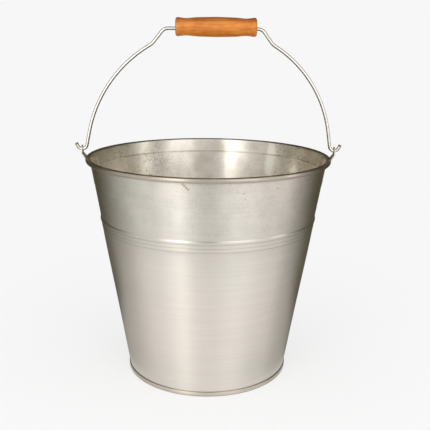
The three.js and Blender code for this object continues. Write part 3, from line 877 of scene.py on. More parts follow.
# Heights or distances from a line, in millimetres, where a kind of darkening starts and where it is full, and
# its strength at both where that isn't 0 and 1. The crest band is a painted dark reflection, the curl's
# bands are tarnish with painted shade low on the curl and under it, and the groove band is painted shade.
painted_crest_band = (body_height - 1.7, body_height - 0.5)
# Tarnish on the curl, with painted shade strongest low on it and on the wall just under it.
roll_band = (under_roll - 3, under_roll + 1)
roll_fade = (body_height, under_roll + 2, 0.22, 0.45)
crease_band = (1.5, 0.3)
groove_shade_band = (0.6, 0.15, 0, 0.34)
foot_band = (band_height + 0.3, band_height, 0, 0.3)
edge_band = (1.8, 0.3, 0, 0.4)
# How much a face looks away from the axis where it still counts as outside, and where as inside.
facing_turn = (0.2, -0.2)
# Painted shade in the step beside a seam: how much the step looks along Y, and in millimetres how near it
# lies to the X axis and how far from the Y axis.
seam_shade_tilt = (0.45, 0.75)
seam_shade_width = (30, 25)
seam_shade_reach = (70, 80)
seam_shade_strength = 0.8


def facing_axis(parts, facing):
    """1 on the faces that look to the bucket's axis, 0 on those that look away from it."""
    outward = vector_step("NORMALIZE", join(parts["X"], parts["Y"]))
    return ramp(vector_step("DOT_PRODUCT", outward, facing, output="Value"), *facing_turn)


def painted_seam_shade(parts, facing):
    """Painted shade in the step beside each lock seam: narrow faces near the X axis that look along Y."""
    sideways = ramp(abs(split(facing)["Y"]), *seam_shade_tilt)
    near = band(abs(parts["Y"]), *seam_shade_width)
    return sideways * near * band(abs(parts["X"]), *seam_shade_reach) * seam_shade_strength


def sheet_tarnish_and_shade(place, parts, facing, inside):
    """Where the sheet is darker: tarnish and spots, a dark crease line, a darker foot and edge, painted
    shade under the curl, in the grooves and beside the seams, and a painted dark reflection on the crest.
    """
    height = parts["Z"]
    # A painted dark reflection along the crest of the rim, in patches.
    crest = band(height, *painted_crest_band) * blotches(place, painted_crest_patches)
    # Brown tarnish over the outside of the curl, with painted shade low on it and on the wall just under it.
    roll = band(height, *roll_band) * (1 - inside) * band(height, *roll_fade)
    crease = band(abs(height - (body_height - crease_drop) * MM), *crease_band)
    crease = crease * inside * blotches(place, crease_patches) * crease_strength
    darkened = largest(crest, roll, crease, band(height, *foot_band) + band(height, *edge_band))
    # Painted shade in the three grooves below, between and above the two ribs.
    for rib in range(rib_count + 1):
        from_groove = abs(height - (rib_foot + rib * rib_width) * MM)
        darkened = largest(darkened, band(from_groove, *groove_shade_band))
    for mark in outside_spots:
        darkened = largest(darkened, spot(place, *mark) * spot_strength)
    # Painted shade in the step beside each seam.
    return largest(darkened, painted_seam_shade(parts, facing))


# %% Sheet finish
# Heights, or for the specks a distance beside the middle, between which an effect grows, in millimetres.
warm_below = (200, 120, 0, 0.35)
# Below these heights the outside is painted paler, a painted reflection of the pale floor.
painted_light_below = (200, 150)
cloudy_above = (bead_top, bead_top + 8)
specks_beside = (20, 80)
stain_strength = 0.6
speck_strength = 0.75
grey_patch_strength = 0.75
fine_gain = 0.10
broad_gain = 0.14
painted_light_gain = 0.08
mottle_gain = 0.16
cloud_gain = 0.09
painted_streak_gain = 0.30
painted_streak_clears = 0.6
plain_gain = 0.88
sheet_roughness = 0.37
broad_roughness = 0.06
speck_roughness = 0.15
mean_speckle = 0.45
sheet_relief = (0.06, 0.0004)
brushed = {"Metallic": 1.0, "Anisotropic": 0.85, "Anisotropic Rotation": 0.25}


def inner_colour(place, parts, painted_streaks):
    """The colour of the inside, and how speckled it is."""
    # The painted light streaks keep stains and specks away.
    stained = blotches(place, stain_patches) * (1 - painted_streaks) * stain_strength
    beside = band(abs(parts["X"]), *specks_beside)
    speckled = blotches(place, speck_dots) * blotches(place, speck_areas) * beside
    speckled = speckled * (1 - painted_streaks * painted_streak_clears)
    colour = blend_colours(stained, inside_clean, inside_stain)
    colour = blend_colours(speckled * speck_strength, colour, speckle_colour)
    return blend_colours(spot(place, *grey_patch) * grey_patch_strength, colour, grey_patch_colour), speckled


def build_sheet_finish():
    material, tree = new_material("bright_sheet")
    place, facing = read_surface(tree)
    parts = split(place)
    inside = facing_axis(parts, facing)
    fine = lines(place, fine_lines)
    broad = lines(place, broad_lines)

    warmth = blotches(place, warm_patches) + band(parts["Z"], *warm_below)
    outer = blend_colours(warmth.step("MINIMUM", 1.0), outside_cool, outside_warm)
    painted_streaks = largest(*[spot(place, *mark) for mark in painted_light_streaks])
    inner, speckled = inner_colour(place, parts, painted_streaks)

    # A painted reflection of the pale floor: the outside paler low down.
    low = band(parts["Z"], *painted_light_below) * (1 - inside)
    high = band(parts["Z"], *cloudy_above)
    mottle = blotches(place, mottle_dots) * blotches(place, mottle_areas)
    tone = fine * fine_gain + broad * broad_gain + low * painted_light_gain - high * mottle * mottle_gain
    tone = tone + high * blotches(place, cloud_patches) * cloud_gain
    # The painted light streaks brighten the inside.
    tone = tone + inside * painted_streaks * painted_streak_gain + plain_gain
    colour = scale_colour(blend_colours(inside, outer, inner), tone)
    colour = blend_colours(sheet_tarnish_and_shade(place, parts, facing, inside), colour, dark_brown_tint)

    rough = sheet_roughness + broad * broad_roughness
    rough = rough + inside * (speckled - mean_speckle) * speck_roughness
    around = add_node(tree, "ShaderNodeTangent", direction_type="UV_MAP", uv_map="UVMap")[0]
    finish_surface(colour, rough, fine, sheet_relief, {**brushed, "Tangent": around})
    print("nodes in the sheet finish:", len(tree.nodes))
    return material


sheet_finish = build_sheet_finish()

# %% [markdown]
# ## Finishes of the small metal parts
#
# The ears and rivets are stamped steel, dipped with the rest: duller than the sheet, with soft grey patches
# and a fine grain. The wire is drawn steel, brighter, with faint patches along it. A painted dark reflection
# darkens the faces of the wire that look away from front and back, and is left off the outer side low on
# the legs. The tails by the ears are darkened brown, and painted shade darkens their cut ends. One
# function serves all of these parts, and each gets its own colours, grain and seed.

# %% Wire tints and painted shade
# The colours of the painted dark reflection on the wire's sides and of the painted shade on its cut ends.
wire_dark_reflection_colour = (0.24, 0.23, 0.195)
wire_end_shade_colour = (0.06, 0.055, 0.045)
wire_glancing = (0.50, 0.48, 0.44, 1)
plain_glancing = (1, 1, 1, 1)
# How much a face looks along Y where the painted dark reflection on the wire starts and where it is full,
# and its strength at both.
wire_dark_reflection_turn = (0.95, 0.60, 0, 0.85)
# X times the face's own X, in metres, where the painted dark reflection starts to be left off the outer
# side, and where it is left off fully.
wire_reflection_off_turn = (0.0, 0.05)
wire_reflection_off_below = (385, 360)
wire_reflection_off_share = 0.8
wire_tail_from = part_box("bail_wire")[1].x - 7.0 * MM
wire_tail_fade = 2 * MM
wire_tail_strength = 0.35
wire_tip_height = 287.6
wire_tip_length = 3.0
wire_tip_shade_strength = 0.9


def wire_tints_and_shade(place, facing, colour):
    """Painted dark reflection on the sides, brown tails, and painted shade on the cut ends."""
    parts = split(place)
    normal = split(facing)
    # A painted dark reflection on the faces that look away from front and back, left off the outer side low
    # on the legs.
    sides = ramp(abs(normal["Y"]), *wire_dark_reflection_turn)
    low = band(parts["Z"], *wire_reflection_off_below)
    reflection_left_off = ramp(parts["X"] * normal["X"], *wire_reflection_off_turn) * low * wire_reflection_off_share
    colour = blend_colours(sides * (1 - reflection_left_off), colour, wire_dark_reflection_colour)
    # The tails are darkened brown, and the cut ends get painted shade.
    far_out = ramp(abs(parts["X"]), wire_tail_from, wire_tail_from + wire_tail_fade)
    tip = band(parts["Z"], wire_tip_height - wire_tip_length, wire_tip_height)
    colour = blend_colours(far_out * wire_tail_strength, colour, dark_brown_tint)
    return blend_colours(far_out * tip * wire_tip_shade_strength, colour, wire_end_shade_colour)


# %% Small metal parts
metal_relief = (0.06, 0.0002)
# Clean share and softness of the patches and of the grain. The grain also varies the brightness a little.
patch_shape = (0.5, 0.18)
grain_shape = (0.5, 0.3)
grains_per_metre = 900.0
grain_seed_step = 0.7
grain_gain, grain_plain_gain = 0.08, 0.96
patch_roughness = 0.08


def build_metal_finish(name, clean, dull, roughness, patches_per_metre, seed, is_wire=False):
    material, tree = new_material(name)
    place, facing = read_surface(tree)
    patches = blotches(place, (patches_per_metre, *patch_shape, seed))
    grain = blotches(place, (grains_per_metre, *grain_shape, seed + grain_seed_step))
    colour = scale_colour(blend_colours(patches, clean, dull), grain * grain_gain + grain_plain_gain)
    if is_wire:
        colour = wire_tints_and_shade(place, facing, colour)
    others = {"Metallic": 1.0, "Specular Tint": wire_glancing if is_wire else plain_glancing}
    finish_surface(colour, roughness + patches * patch_roughness, grain, metal_relief, others)
    return material


ear_finish = build_metal_finish("ear_plate", (0.72, 0.69, 0.62), (0.50, 0.47, 0.41), 0.5, 110.0, 2.1)
rivet_finish = build_metal_finish("rivet_steel", (0.42, 0.39, 0.34), (0.28, 0.24, 0.19), 0.45, 240.0, 6.4)
hoop_finish = build_metal_finish("hoop_wire_steel", (0.55, 0.53, 0.48), (0.38, 0.34, 0.28), 0.35, 60.0, 3.8)
wire_finish = build_metal_finish(
    "bail_wire_steel", (0.86, 0.82, 0.745), (0.76, 0.72, 0.64), 0.26, 45.0, 8.5, is_wire=True
)
print("metal finishes:", [finish.name for finish in (ear_finish, rivet_finish, hoop_finish, wire_finish)])

# %% [markdown]
# ## The lacquered wood
#
# The grip is a pale wood under an orange-brown lacquer, which pools in the grain. The grain runs lengthwise,
# so it is a noise stretched along the grip's axis, over slow rings that show as darker bands. Painted shade
# darkens the grip above and below, most on top, broken up by a grain pattern. The two ends are end grain,
# which soaks up more lacquer. A clear coat gives the pale highlight.

# %% Wood finish
wood_light = (0.75, 0.29, 0.040)
wood_dark = (0.50, 0.145, 0.014)
# The colour of the painted shade above and below the grip.
wood_shade_colour = (0.28, 0.070, 0.008)
wood_end = (0.20, 0.065, 0.018)
# The middle line of the painted shade, 3 mm below the grip's middle.
wood_shade_middle = (sum(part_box("wooden_grip"), Vector()) / 2).z - 3 * MM
wood_stretch = 0.06
wood_fibres = (1000.0, 0.5, 0.12, 1.9)
wood_bands = (300.0, 0.52, 0.08, 5.2)
wood_clouds = (75.0, 0.52, 0.12, 2.2)
edge_shade_grain = (420.0, 0.46, 0.12, 4.4)
# How strongly the fibres, bands and clouds colour the wood. Then the painted shade above and below: its
# strength, and how far from its middle line, in millimetres, it starts and is full. Last, how much a face
# looks along the grip where its end grain starts and is full.
fibre_strength, band_strength, cloud_strength = 0.4, 0.4, 0.35
edge_shade_strength, edge_shade_plain = 0.5, 0.9
edge_shade_band = (5.5, 13)
wood_end_turn = (0.6, 0.95)
wood_roughness = 0.38
fibre_roughness = 0.12
wood_relief = (0.12, 0.0002)
lacquer = {
    "Specular IOR Level": 0.35,
    "Coat Weight": 0.35,
    "Coat Roughness": 0.3,
    "Coat Tint": (0.90, 0.72, 0.50, 1),
}


def build_wood_finish():
    material, tree = new_material("lacquered_wood")
    place, facing = read_surface(tree)
    parts = split(place)
    stretched = join(parts["X"] * wood_stretch, parts["Y"], parts["Z"])
    fibres = blotches(stretched, wood_fibres)
    grain = fibres * fibre_strength + blotches(stretched, wood_bands) * band_strength
    grain = grain + blotches(place, wood_clouds) * cloud_strength
    colour = blend_colours(grain, wood_light, wood_dark)
    # Painted shade above and below the grip, most on top, broken up by a grain pattern.
    painted_edge_shade = band(abs(parts["Z"] - wood_shade_middle), *edge_shade_band) * edge_shade_strength
    painted_edge_shade = painted_edge_shade * (blotches(stretched, edge_shade_grain) + edge_shade_plain)
    colour = blend_colours(painted_edge_shade, colour, wood_shade_colour)
    colour = blend_colours(ramp(abs(split(facing)["X"]), *wood_end_turn), colour, wood_end)
    finish_surface(colour, wood_roughness + fibres * fibre_roughness, fibres, wood_relief, lacquer)
    print("nodes in the wood finish:", len(tree.nodes))
    return material


wood_finish = build_wood_finish()

# %% [markdown]
# ## The two half sheets and their lock seams
#
# The wall is two sheets. Each is turned over half a circle by the tree, and then its edges are folded in
# mesh code: at each seam the front and the back sheet carry a hook, and the hooks lie in each other, four
# layers deep, on the inside. The seams stop short of the rim and the foot, where the sheets only meet.

# %% Seam sizes
seam_azimuth = math.radians(4.5)
seam_width = 5.0
seam_gap = 0.3
seam_slope = 1.0
seam_lead = 0.5
touch_gap = 0.3
layer_pitch = sheet_thickness + seam_gap
half_seam = seam_width / 2
half_sheet = sheet_thickness / 2
seam_radial = Vector((math.cos(seam_azimuth), math.sin(seam_azimuth), 0))
seam_forward = Vector((-math.sin(seam_azimuth), math.cos(seam_azimuth), 0))

front_step_top = -half_seam - seam_gap - half_sheet
front_step_foot = front_step_top - seam_slope
front_seam_start = front_step_foot - seam_lead
back_seam_start = half_seam + seam_lead


def hook_path(*corners):
    """A hook from its free edge on. A corner is its place along the seam and its layer, from the outside."""
    return [Vector((along, layer * layer_pitch + half_sheet)) for along, layer in corners]


front_hook = hook_path(
    (-half_seam + layer_pitch, 1),
    (half_seam - half_sheet, 1),
    (half_seam - half_sheet, 3),
    (front_step_top, 3),
    (front_step_foot, 0),
    (front_seam_start, 0),
)
back_hook = hook_path(
    (half_seam - layer_pitch, 2),
    (-half_seam + half_sheet, 2),
    (-half_seam + half_sheet, 0),
    (back_seam_start, 0),
)
print("depth of a seam, mm:", round(3 * layer_pitch + sheet_thickness, 2))

# %% Seam columns


def beside_seam(along, radius, z):
    """A point beside the middle of the seam on the +X side."""
    place = seam_radial * radius + seam_forward * along
    return Vector((place.x, place.y, z)) * MM


def arc_column(azimuth):
    turn = math.radians(azimuth)
    return [[Vector((*on_circle(r, turn), z)) * MM for r, z in faces] for faces in levels]


def straight_column(along):
    return [[beside_seam(along, r, z) for r, z in faces] for faces in levels]


def offset_both_sides(path, thickness):
    """For each corner of a path, the mitred points half a thickness to its left and right."""
    pairs = []
    for index, point in enumerate(path):
        before = path[max(index - 1, 0)]
        after = path[min(index + 1, len(path) - 1)]
        arriving = point - before if index else after - point
        leaving = after - point if index + 1 < len(path) else arriving
        arriving_normal = Vector((-arriving.y, arriving.x)).normalized()
        leaving_normal = Vector((-leaving.y, leaving.x)).normalized()
        bisector = (arriving_normal + leaving_normal).normalized()
        reach = thickness / 2 / bisector.dot(arriving_normal)
        pairs.append((point + bisector * reach, point - bisector * reach))
    return pairs


def hook_columns(path, outer_side):
    """A column of the section at each corner of a hook, sunk below the wall by the corner's depth."""
    columns = []
    for left, right in offset_both_sides(path, sheet_thickness):
        pair = (left, right) if outer_side == "left" else (right, left)
        column = []
        for (radius, z), _ in levels:
            column.append([beside_seam(edge.x, radius - edge.y / math.cos(wall_angle), z) for edge in pair])
        columns.append(column)
    return columns


# %% Seam faces


def add_stretch(faces, columns, low, high):
    """Both faces of the sheet between neighbouring columns, and its lower and upper edges."""
    for here, next_one in zip(columns, columns[1:]):
        for level in range(low, high):
            for side in (0, 1):
                rising = here[level][side], next_one[level][side]
                faces.append([*rising, next_one[level + 1][side], here[level + 1][side]])
        for level in (low, high):
            faces.append([here[level][0], next_one[level][0], next_one[level][1], here[level][1]])


def add_cut_edge(faces, column, low, high):
    for level in range(low, high):
        faces.append([column[level][0], column[level + 1][0], column[level + 1][1], column[level][1]])


def seam_faces(hook, outer_side, seam_start, butt_edge, arc_start):
    """All the faces between the turned part of a sheet and its cut edges, on the +X side."""
    seam_column = straight_column(seam_start)
    butt = [straight_column(butt_edge), seam_column]
    strip = hook_columns(hook, outer_side)
    strip[-1] = seam_column
    faces = []
    add_stretch(faces, [seam_column, arc_column(arc_start)], 0, top_level)
    add_stretch(faces, butt, 0, seam_foot_level - 1)
    add_stretch(faces, strip, seam_foot_level, seam_top_level)
    add_stretch(faces, butt, seam_top_level + 1, top_level)
    add_cut_edge(faces, butt[0], 0, seam_foot_level - 1)
    add_cut_edge(faces, seam_column, seam_foot_level - 1, seam_foot_level)
    add_cut_edge(faces, strip[0], seam_foot_level, seam_top_level)
    add_cut_edge(faces, seam_column, seam_top_level, seam_top_level + 1)
    add_cut_edge(faces, butt[0], seam_top_level + 1, top_level)
    return faces


def fold_edges(sheet, faces):
    """Adds the folded edges to a turned sheet on both sides, closes it and turns its faces outward."""
    shape = bmesh.new()
    shape.from_mesh(sheet.data)
    spread = shape.loops.layers.uv["UVMap"]
    for side in (1, -1):
        for corners in faces:
            placed = [shape.verts.new((side * corner.x, corner.y, corner.z)) for corner in corners]
            face = shape.faces.new(placed)
            face.smooth = True
            for loop in face.loops:
                turn = math.atan2(loop.vert.co.y, loop.vert.co.x)
                loop[spread].uv = (turn / math.tau, loop.vert.co.z)
    bmesh.ops.remove_doubles(shape, verts=shape.verts, dist=1e-6)
    bmesh.ops.recalc_face_normals(shape, faces=shape.faces)
    print(sheet.name, "open edges:", sum(not edge.is_manifold for edge in shape.edges))
    shape.to_mesh(sheet.data)
    shape.free()


# %% The two sheets
arc_step = 1.5
back_arc = 9.0
half_gap = touch_gap / 2
# Where the turned part starts and how far it turns, in degrees, then the hook, the side of its path that is
# the outer face, where the seam starts, where the plain edge ends, and where the turned part is joined.
half_sheets = {
    "front_sheet": (-180, 180, front_hook, "left", front_seam_start, -half_gap, 0),
    "back_sheet": (back_arc, 180 - 2 * back_arc, back_hook, "right", back_seam_start, half_gap, back_arc),
}
for name, (start, sweep, *edge) in half_sheets.items():
    sheet = turned(name, wall_outline, sheet_finish, round(sweep / arc_step), start, sweep)
    fold_edges(sheet, seam_faces(*edge))
    sharpen(sheet)
    settle(sheet, "bucket", "bright_sheet", "body_" + name)

# %% [markdown]
# ## The bottom pan and the hoop in the rim
#
# The bottom is a shallow pan, pressed from a disc. Its rim is folded down, out and up round the neck of the
# wall, which makes the thick band that the bucket stands on. The hoop is a ring of wire inside the curl, and
# it keeps the mouth round. Both are full turns.

# %% Bottom pan and hoop
fold_round = 0.5
fold_round_steps = 4
hoop_sides = 16
full_turn_steps = 240
flange_outer = neck_radius - sheet_thickness - fold_gap
flange_inner = flange_outer - sheet_thickness
pan_top = pan_recess + sheet_thickness


def round_corner(centre, start, turn, radius=fold_round):
    """Points round a corner of an outline. Start and turn are degrees."""
    angles = [math.radians(start + turn * step / fold_round_steps) for step in range(fold_round_steps + 1)]
    return [on_circle(radius, angle, centre) for angle in angles]


def pan_outline():
    return [
        (0, pan_recess),
        *round_corner((flange_inner - fold_round, pan_recess - fold_round), 90, -90),
        *round_corner((flange_inner + fold_round, fold_round), 180, 90),
        *round_corner((foot_radius - fold_round, fold_round), -90, 90),
        *round_corner((foot_radius - half_sheet, band_height - half_sheet), 0, 180, half_sheet),
        (band_inner, sheet_thickness),
        (flange_outer, sheet_thickness),
        *round_corner((flange_outer - fold_round, pan_top - fold_round), 0, 90),
        (0, pan_top),
    ]


hoop_angles = [math.tau * side / hoop_sides for side in range(hoop_sides + 1)]
hoop_outline = [on_circle(hoop_wire_radius, angle, roll_centre) for angle in hoop_angles]
pan = turned("bottom", pan_outline(), sheet_finish, full_turn_steps)
sharpen(pan)
settle(pan, "bucket", "bright_sheet", "bottom_pan")
hoop = turned("rim_hoop", hoop_outline, hoop_finish, full_turn_steps)
settle(hoop, "bucket", "steel_wire", "rim_wire")

# %% [markdown]
# ## The ears
#
# Each ear is a strap of thicker plate, riveted to the wall. It bends out past the rim and stands up to hold
# the pivot hole. Its shape is already right in the plain model, so a copy is cleaned of its loose triangles
# and its edges are broken with a small bevel, as a tumbled stamping has.

# %% Ears
ear_bevel = 0.22


def clean_copy(name, node, finish):
    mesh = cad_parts[node].data.copy()
    mesh.materials.clear()
    mesh.materials.append(finish)
    shape = bmesh.new()
    shape.from_mesh(mesh)
    bmesh.ops.remove_doubles(shape, verts=shape.verts, dist=1e-6)
    bmesh.ops.dissolve_limit(
        shape, angle_limit=math.radians(0.5), verts=shape.verts, edges=shape.edges, delimit={"NORMAL"}
    )
    for face in shape.faces:
        face.smooth = True
    shape.to_mesh(mesh)
    shape.free()
    return new_object(name, mesh)


for side in ("right", "left"):
    ear = clean_copy("ear_" + side + "_strap", "ear_" + side, ear_finish)
    bevel = ear.modifiers.new("broken edges", "BEVEL")
    bevel.width = ear_bevel * MM
    bevel.segments = 2
    bevel.limit_method = "ANGLE"
    bevel.angle_limit = math.radians(35)
    make_plain(ear)
    sharpen(ear)
    settle(ear, "bucket", "ear_plate", "ear_" + side)

# %% [markdown]
# ## The rivets
#
# Two rivets hold each ear. A rivet is turned once, and a tree sets one on each marked point and turns it
# along the direction stored there, which is how any row of fasteners is laid out.

# %% One rivet
rivet_shank = 2.0
rivet_head = (3.4, 1.1)
rivet_tail = (3.1, 0.9)
rivet_tail_gap = 0.45
ear_thickness = 1.2
dome_steps = 6
rivet_steps = 40
tail_seat = -sheet_thickness - rivet_tail_gap
head_seat = 2 * touch_gap + ear_thickness


def dome(size, base, sign):
    """A low dome, (radius, height), from its edge to its top, or for sign -1 upside down from its top."""
    angles = [math.pi / 2 * step / dome_steps for step in range(dome_steps + 1)]
    points = [(size[0] * math.cos(angle), base + sign * size[1] * math.sin(angle)) for angle in angles]
    return points[::sign]


rivet_outline = [
    *dome(rivet_tail, tail_seat, -1),
    (rivet_shank, tail_seat),
    (rivet_shank, head_seat),
    *dome(rivet_head, head_seat, 1),
]
print("height of a rivet, mm:", round(head_seat + rivet_head[1] - tail_seat + rivet_tail[1], 2))

# %% Rivets in their places


def build_fastener_tree():
    sizes = {
        "Places": ("Geometry", None),
        "Fastener": ("Object", None),
        "Finish": ("Material", None),
    }
    made = {"Fasteners": ("Geometry", None)}
    tree, given = new_tree("fasteners_on_points", "GeometryNodeTree", sizes, made)
    one = add_node(tree, "GeometryNodeObjectInfo", {"Object": given["Fastener"]})["Geometry"]
    outward = add_node(tree, "GeometryNodeInputNamedAttribute", {"Name": "outward"}, data_type="FLOAT_VECTOR")
    aligned = add_node(tree, "FunctionNodeAlignRotationToVector", {"Vector": outward[0]}, axis="Z")[0]
    wanted = {"Points": given["Places"], "Instance": one, "Rotation": aligned}
    end_shape_tree(add_node(tree, "GeometryNodeInstanceOnPoints", wanted)[0], given["Finish"])
    return tree


def rivet_places():
    """The point on the wall under each rivet, and its outward direction, measured on the plain rivets."""
    places = {}
    tail_end = tail_seat - rivet_tail[1]
    for node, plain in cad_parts.items():
        if node.startswith("ear_rivet"):
            corners = np.array([vertex.co for vertex in plain.data.vertices])
            side = math.copysign(1, corners[:, 0].mean())
            outward = Vector((side * math.cos(wall_angle), 0, -math.sin(wall_angle)))
            middle = Vector((corners.min(axis=0) + corners.max(axis=0)) / 2)
            lowest = (corners @ np.array(outward)).min()
            places[node] = (middle + outward * (lowest - middle.dot(outward) - tail_end * MM), outward)
    return places


def make_rivets():
    rivet = turned("one_rivet", rivet_outline, rivet_finish, rivet_steps)
    places = rivet_places()
    mesh = new_mesh("rivet_places", [place for place, outward in places.values()])
    attribute = mesh.attributes.new("outward", "FLOAT_VECTOR", "POINT")
    attribute.data.foreach_set("vector", [part for place, outward in places.values() for part in outward])
    values = {"Fastener": rivet, "Finish": rivet_finish}
    rivets = shape_from_tree("ear_rivets", build_fastener_tree(), mesh, values)
    sharpen(rivets)
    bpy.data.objects.remove(rivet)
    settle(rivets, "bucket", "rivet", *places)
    print("rivets:", len(places))


make_rivets()

# %% [markdown]
# ## The wire bail
#
# The bail is one length of 4 mm wire. From its tail it hooks through the ear, runs up a straight leg into
# a wide arch, dips at a shoulder, rises to a corner and runs straight through the grip. The bends are arcs
# that meet without a kink, so the path is worked out from radii and angles, as a wire bender is set.

# %% Bail sizes
bail_low, bail_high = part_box("bail_wire")
grip_low, grip_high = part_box("wooden_grip")
bail_radius = (bail_high.y - bail_low.y) / 2 / MM
bail_top = bail_high.z / MM - bail_radius
ear_plate_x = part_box("ear_right")[1].x / MM - ear_thickness / 2
grip_length = (grip_high.x - grip_low.x) / MM
pivot_height = 280.4
hook_radius = 6.0
hook_tail_lean = 24.0
hook_tail_length = 4.0
leg_lean = 10.5
shoulder_elevation = 30.7
shoulder_radius = 14.0
rise_elevation = 52.0
rise_length = 15.4
corner_radius = 9.5
bail_lean = 4.5
grip_play = 5.3
# Degrees between points on the bends, from the tightest to the widest.
hook_step, corner_step, shoulder_step, arch_step = 6, 5, 4, 1.5
# Shares of a straight stretch where the wire has points.
tail_shares = (0, 0.04, 0.1, 0.25, 0.6, 1)
leg_shares = (0.25, 0.5, 0.75, 1)
rise_shares = (0.33, 0.67, 1)
top_shares = np.linspace(0, 1, 12)[1:-1]
print("height of the bail over its pivot, mm:", round(bail_top - pivot_height, 1))

# %% Bail path


def turned_vector(length, degrees):
    return Vector(on_circle(length, math.radians(degrees)))


def arc_points(centre, radius, start, end, step):
    """Points on an arc without its first, from one angle to another in degrees."""
    count = math.ceil(abs(end - start) / step)
    angles = [start + (end - start) * index / count for index in range(1, count + 1)]
    return [centre + turned_vector(radius, angle) for angle in angles]


def hook_points():
    centre = Vector((ear_plate_x, pivot_height + hook_radius))
    tail_start = centre + turned_vector(hook_radius, -hook_tail_lean)
    tip = tail_start + turned_vector(hook_tail_length, 90 - hook_tail_lean)
    tail = [tip.lerp(tail_start, share) for share in tail_shares]
    return [*tail, *arc_points(centre, hook_radius, -hook_tail_lean, leg_lean - 180, hook_step)]


def top_points():
    """Where the shoulder starts, and the points from there to the corner above the end of the grip."""
    corner_centre = Vector((grip_length / 2 + grip_play, bail_top - corner_radius))
    corner_turn = 90 - rise_elevation
    corner_foot = corner_centre + turned_vector(corner_radius, corner_turn)
    rise_foot = corner_foot + turned_vector(1, -rise_elevation) * rise_length
    shoulder_centre = rise_foot + turned_vector(shoulder_radius, corner_turn)
    shoulder_start = -90 - shoulder_elevation
    points = [
        *arc_points(shoulder_centre, shoulder_radius, shoulder_start, -90 - rise_elevation, shoulder_step),
        *[rise_foot.lerp(corner_foot, share) for share in rise_shares],
        *arc_points(corner_centre, corner_radius, corner_turn, 90, corner_step),
    ]
    return shoulder_centre + turned_vector(shoulder_radius, shoulder_start), points


def arch_points(leg, shoulder):
    """The one arc that leaves the leg and meets the shoulder without a kink."""
    shoulder_out = turned_vector(1, 90 - shoulder_elevation)
    leg_out = turned_vector(1, leg_lean)
    leg_along = turned_vector(1, leg_lean + 90)
    chord = shoulder_out - leg_out
    between = shoulder - leg
    crossed = between.x * leg_along.y - between.y * leg_along.x
    radius = crossed / (chord.x * leg_along.y - chord.y * leg_along.x)
    centre = shoulder - shoulder_out * radius
    start = centre + leg_out * radius
    leg_points = [leg.lerp(start, share) for share in leg_shares]
    return [*leg_points, *arc_points(centre, radius, leg_lean, 90 - shoulder_elevation, arch_step)]


def bail_path():
    hook = hook_points()
    shoulder, top = top_points()
    arch = [*arch_points(hook[-1], shoulder), *top]
    leg = hook[-1].y
    halves = []
    for side in (-1, 1):
        half = [Vector((side * point.x, 0, point.y)) for point in hook]
        for point in arch:
            lean = bail_lean * (point.y - leg) / (bail_top - leg)
            half.append(Vector((side * point.x + lean, 0, point.y)))
        halves.append(half)
    left, right = halves
    return [*left, *[left[-1].lerp(right[-1], share) for share in top_shares], *reversed(right)]


# %% Wire
wire_sides = 24
# The cut ends are broken: the girth of the first points, as a share of the wire's.
end_girths = (0.72, 0.93, 1.0)


def build_wire_tree():
    sizes = {
        "Path": ("Geometry", None),
        "Radius": ("Float", 0.002),
        "Sides": ("Int", 24),
        "Finish": ("Material", None),
    }
    tree, given = new_tree("wire_on_path", "GeometryNodeTree", sizes, {"Wire": ("Geometry", None)})
    path = add_node(tree, "GeometryNodeMeshToCurve", {"Mesh": given["Path"]})[0]
    section = {"Resolution": given["Sides"], "Radius": given["Radius"]}
    circle = add_node(tree, "GeometryNodeCurvePrimitiveCircle", section)[0]
    share = add_node(tree, "GeometryNodeInputNamedAttribute", {"Name": "girth"}, data_type="FLOAT")[0]
    swept = {"Curve": path, "Profile Curve": circle, "Scale": share, "Fill Caps": True}
    wire = add_node(tree, "GeometryNodeCurveToMesh", swept)[0]
    end_shape_tree(add_node(tree, "GeometryNodeSetShadeSmooth", {"Geometry": wire})[0], given["Finish"])
    return tree


def make_bail():
    points = bail_path()
    edges = [(number, number + 1) for number in range(len(points) - 1)]
    mesh = new_mesh("bail_path", [point * MM for point in points], edges)
    girth = mesh.attributes.new("girth", "FLOAT", "POINT")
    shares = np.ones(len(points))
    shares[: len(end_girths)] = end_girths
    shares[-len(end_girths) :] = end_girths[::-1]
    girth.data.foreach_set("value", shares)
    values = {"Radius": bail_radius * MM, "Sides": wire_sides, "Finish": wire_finish}
    bail = shape_from_tree("bail", build_wire_tree(), mesh, values)
    sharpen(bail, 50)
    settle(bail, "bail", "steel_wire", "bail_wire")
    length = sum((after - before).length for before, after in zip(points, points[1:]))
    print("length of wire in the bail, mm:", round(length))


make_bail()

# %% [markdown]
# ## The wooden grip
#
# The grip is turned on a lathe: a belly in the middle, a waist near each end and a rounded rim, bored for
# the wire. A smooth curve through a few radii gives the outline, as a turner works between marks.

# %% Grip sizes
grip_belly = (grip_high.z - grip_low.z) / 2 / MM
grip_shoulder = 11.05
grip_waist = 9.95
grip_rim = 11.0
grip_face = 9.9
grip_bore = bail_radius + 0.5
bore_bevel = 0.4
face_flat = 1.2
rim_drop = 2.3
rim_steps = 8
grip_curve_steps = 28
grip_steps = 96
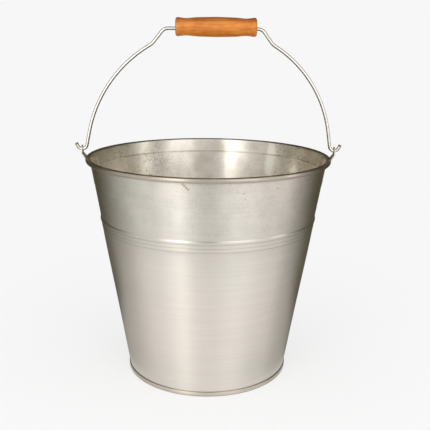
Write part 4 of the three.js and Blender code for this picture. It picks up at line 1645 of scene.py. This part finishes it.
# Marks between the end and the middle: (share of half the length, radius).
grip_marks = [
    (0.06, grip_rim),
    (0.14, (grip_rim + grip_waist) / 2),
    (0.27, grip_waist),
    (0.4, (grip_waist + grip_shoulder) / 2),
    (0.54, grip_shoulder),
    (0.75, (grip_shoulder + grip_belly) / 2),
    (1.0, grip_belly),
]
print("grip, mm:", round(grip_length, 1), "long", round(2 * grip_belly, 1), "across")

# %% Grip


def smooth_between(marks, share):
    """Monotone interpolation through marks of (share, value), flat at both ends."""
    xs, ys = np.array(marks).T
    slopes = np.zeros(len(xs))
    secants = np.diff(ys) / np.diff(xs)
    for index in range(1, len(xs) - 1):
        if secants[index - 1] * secants[index] > 0:
            slopes[index] = 2 / (1 / secants[index - 1] + 1 / secants[index])
    at = min(int(np.searchsorted(xs, share, side="right")) - 1, len(xs) - 2)
    width = xs[at + 1] - xs[at]
    t = (share - xs[at]) / width
    return (
        (1 + 2 * t) * (1 - t) ** 2 * ys[at]
        + t * (1 - t) ** 2 * width * slopes[at]
        + t * t * (3 - 2 * t) * ys[at + 1]
        + t * t * (t - 1) * width * slopes[at + 1]
    )


def grip_outline():
    half = grip_length / 2
    first = grip_marks[0][0]
    left = [(grip_bore, -half + bore_bevel), (grip_bore + bore_bevel, -half), (grip_face - face_flat, -half)]
    for step in range(1, rim_steps):
        angle = math.radians(90 * step / rim_steps)
        height = -half + half * first * (1 - math.cos(angle))
        left.append((grip_rim - rim_drop * (1 - math.sin(angle)), height))
    for step in range(grip_curve_steps + 1):
        share = first + (1 - first) * step / grip_curve_steps
        left.append((smooth_between(grip_marks, share), -half * (1 - share)))
    right = [(radius, -height) for radius, height in reversed(left[:-1])]
    return [*left, *right, left[0]]


def make_grip():
    grip = turned("grip", grip_outline(), wood_finish, grip_steps)
    along_x = Matrix(((0, 0, 1), (1, 0, 0), (0, 1, 0))).to_4x4()
    grip.data.transform(Matrix.Translation((grip_low + grip_high) / 2) @ along_x)
    sharpen(grip, 50)
    settle(grip, "grip", "lacquered_wood", "wooden_grip")


make_grip()
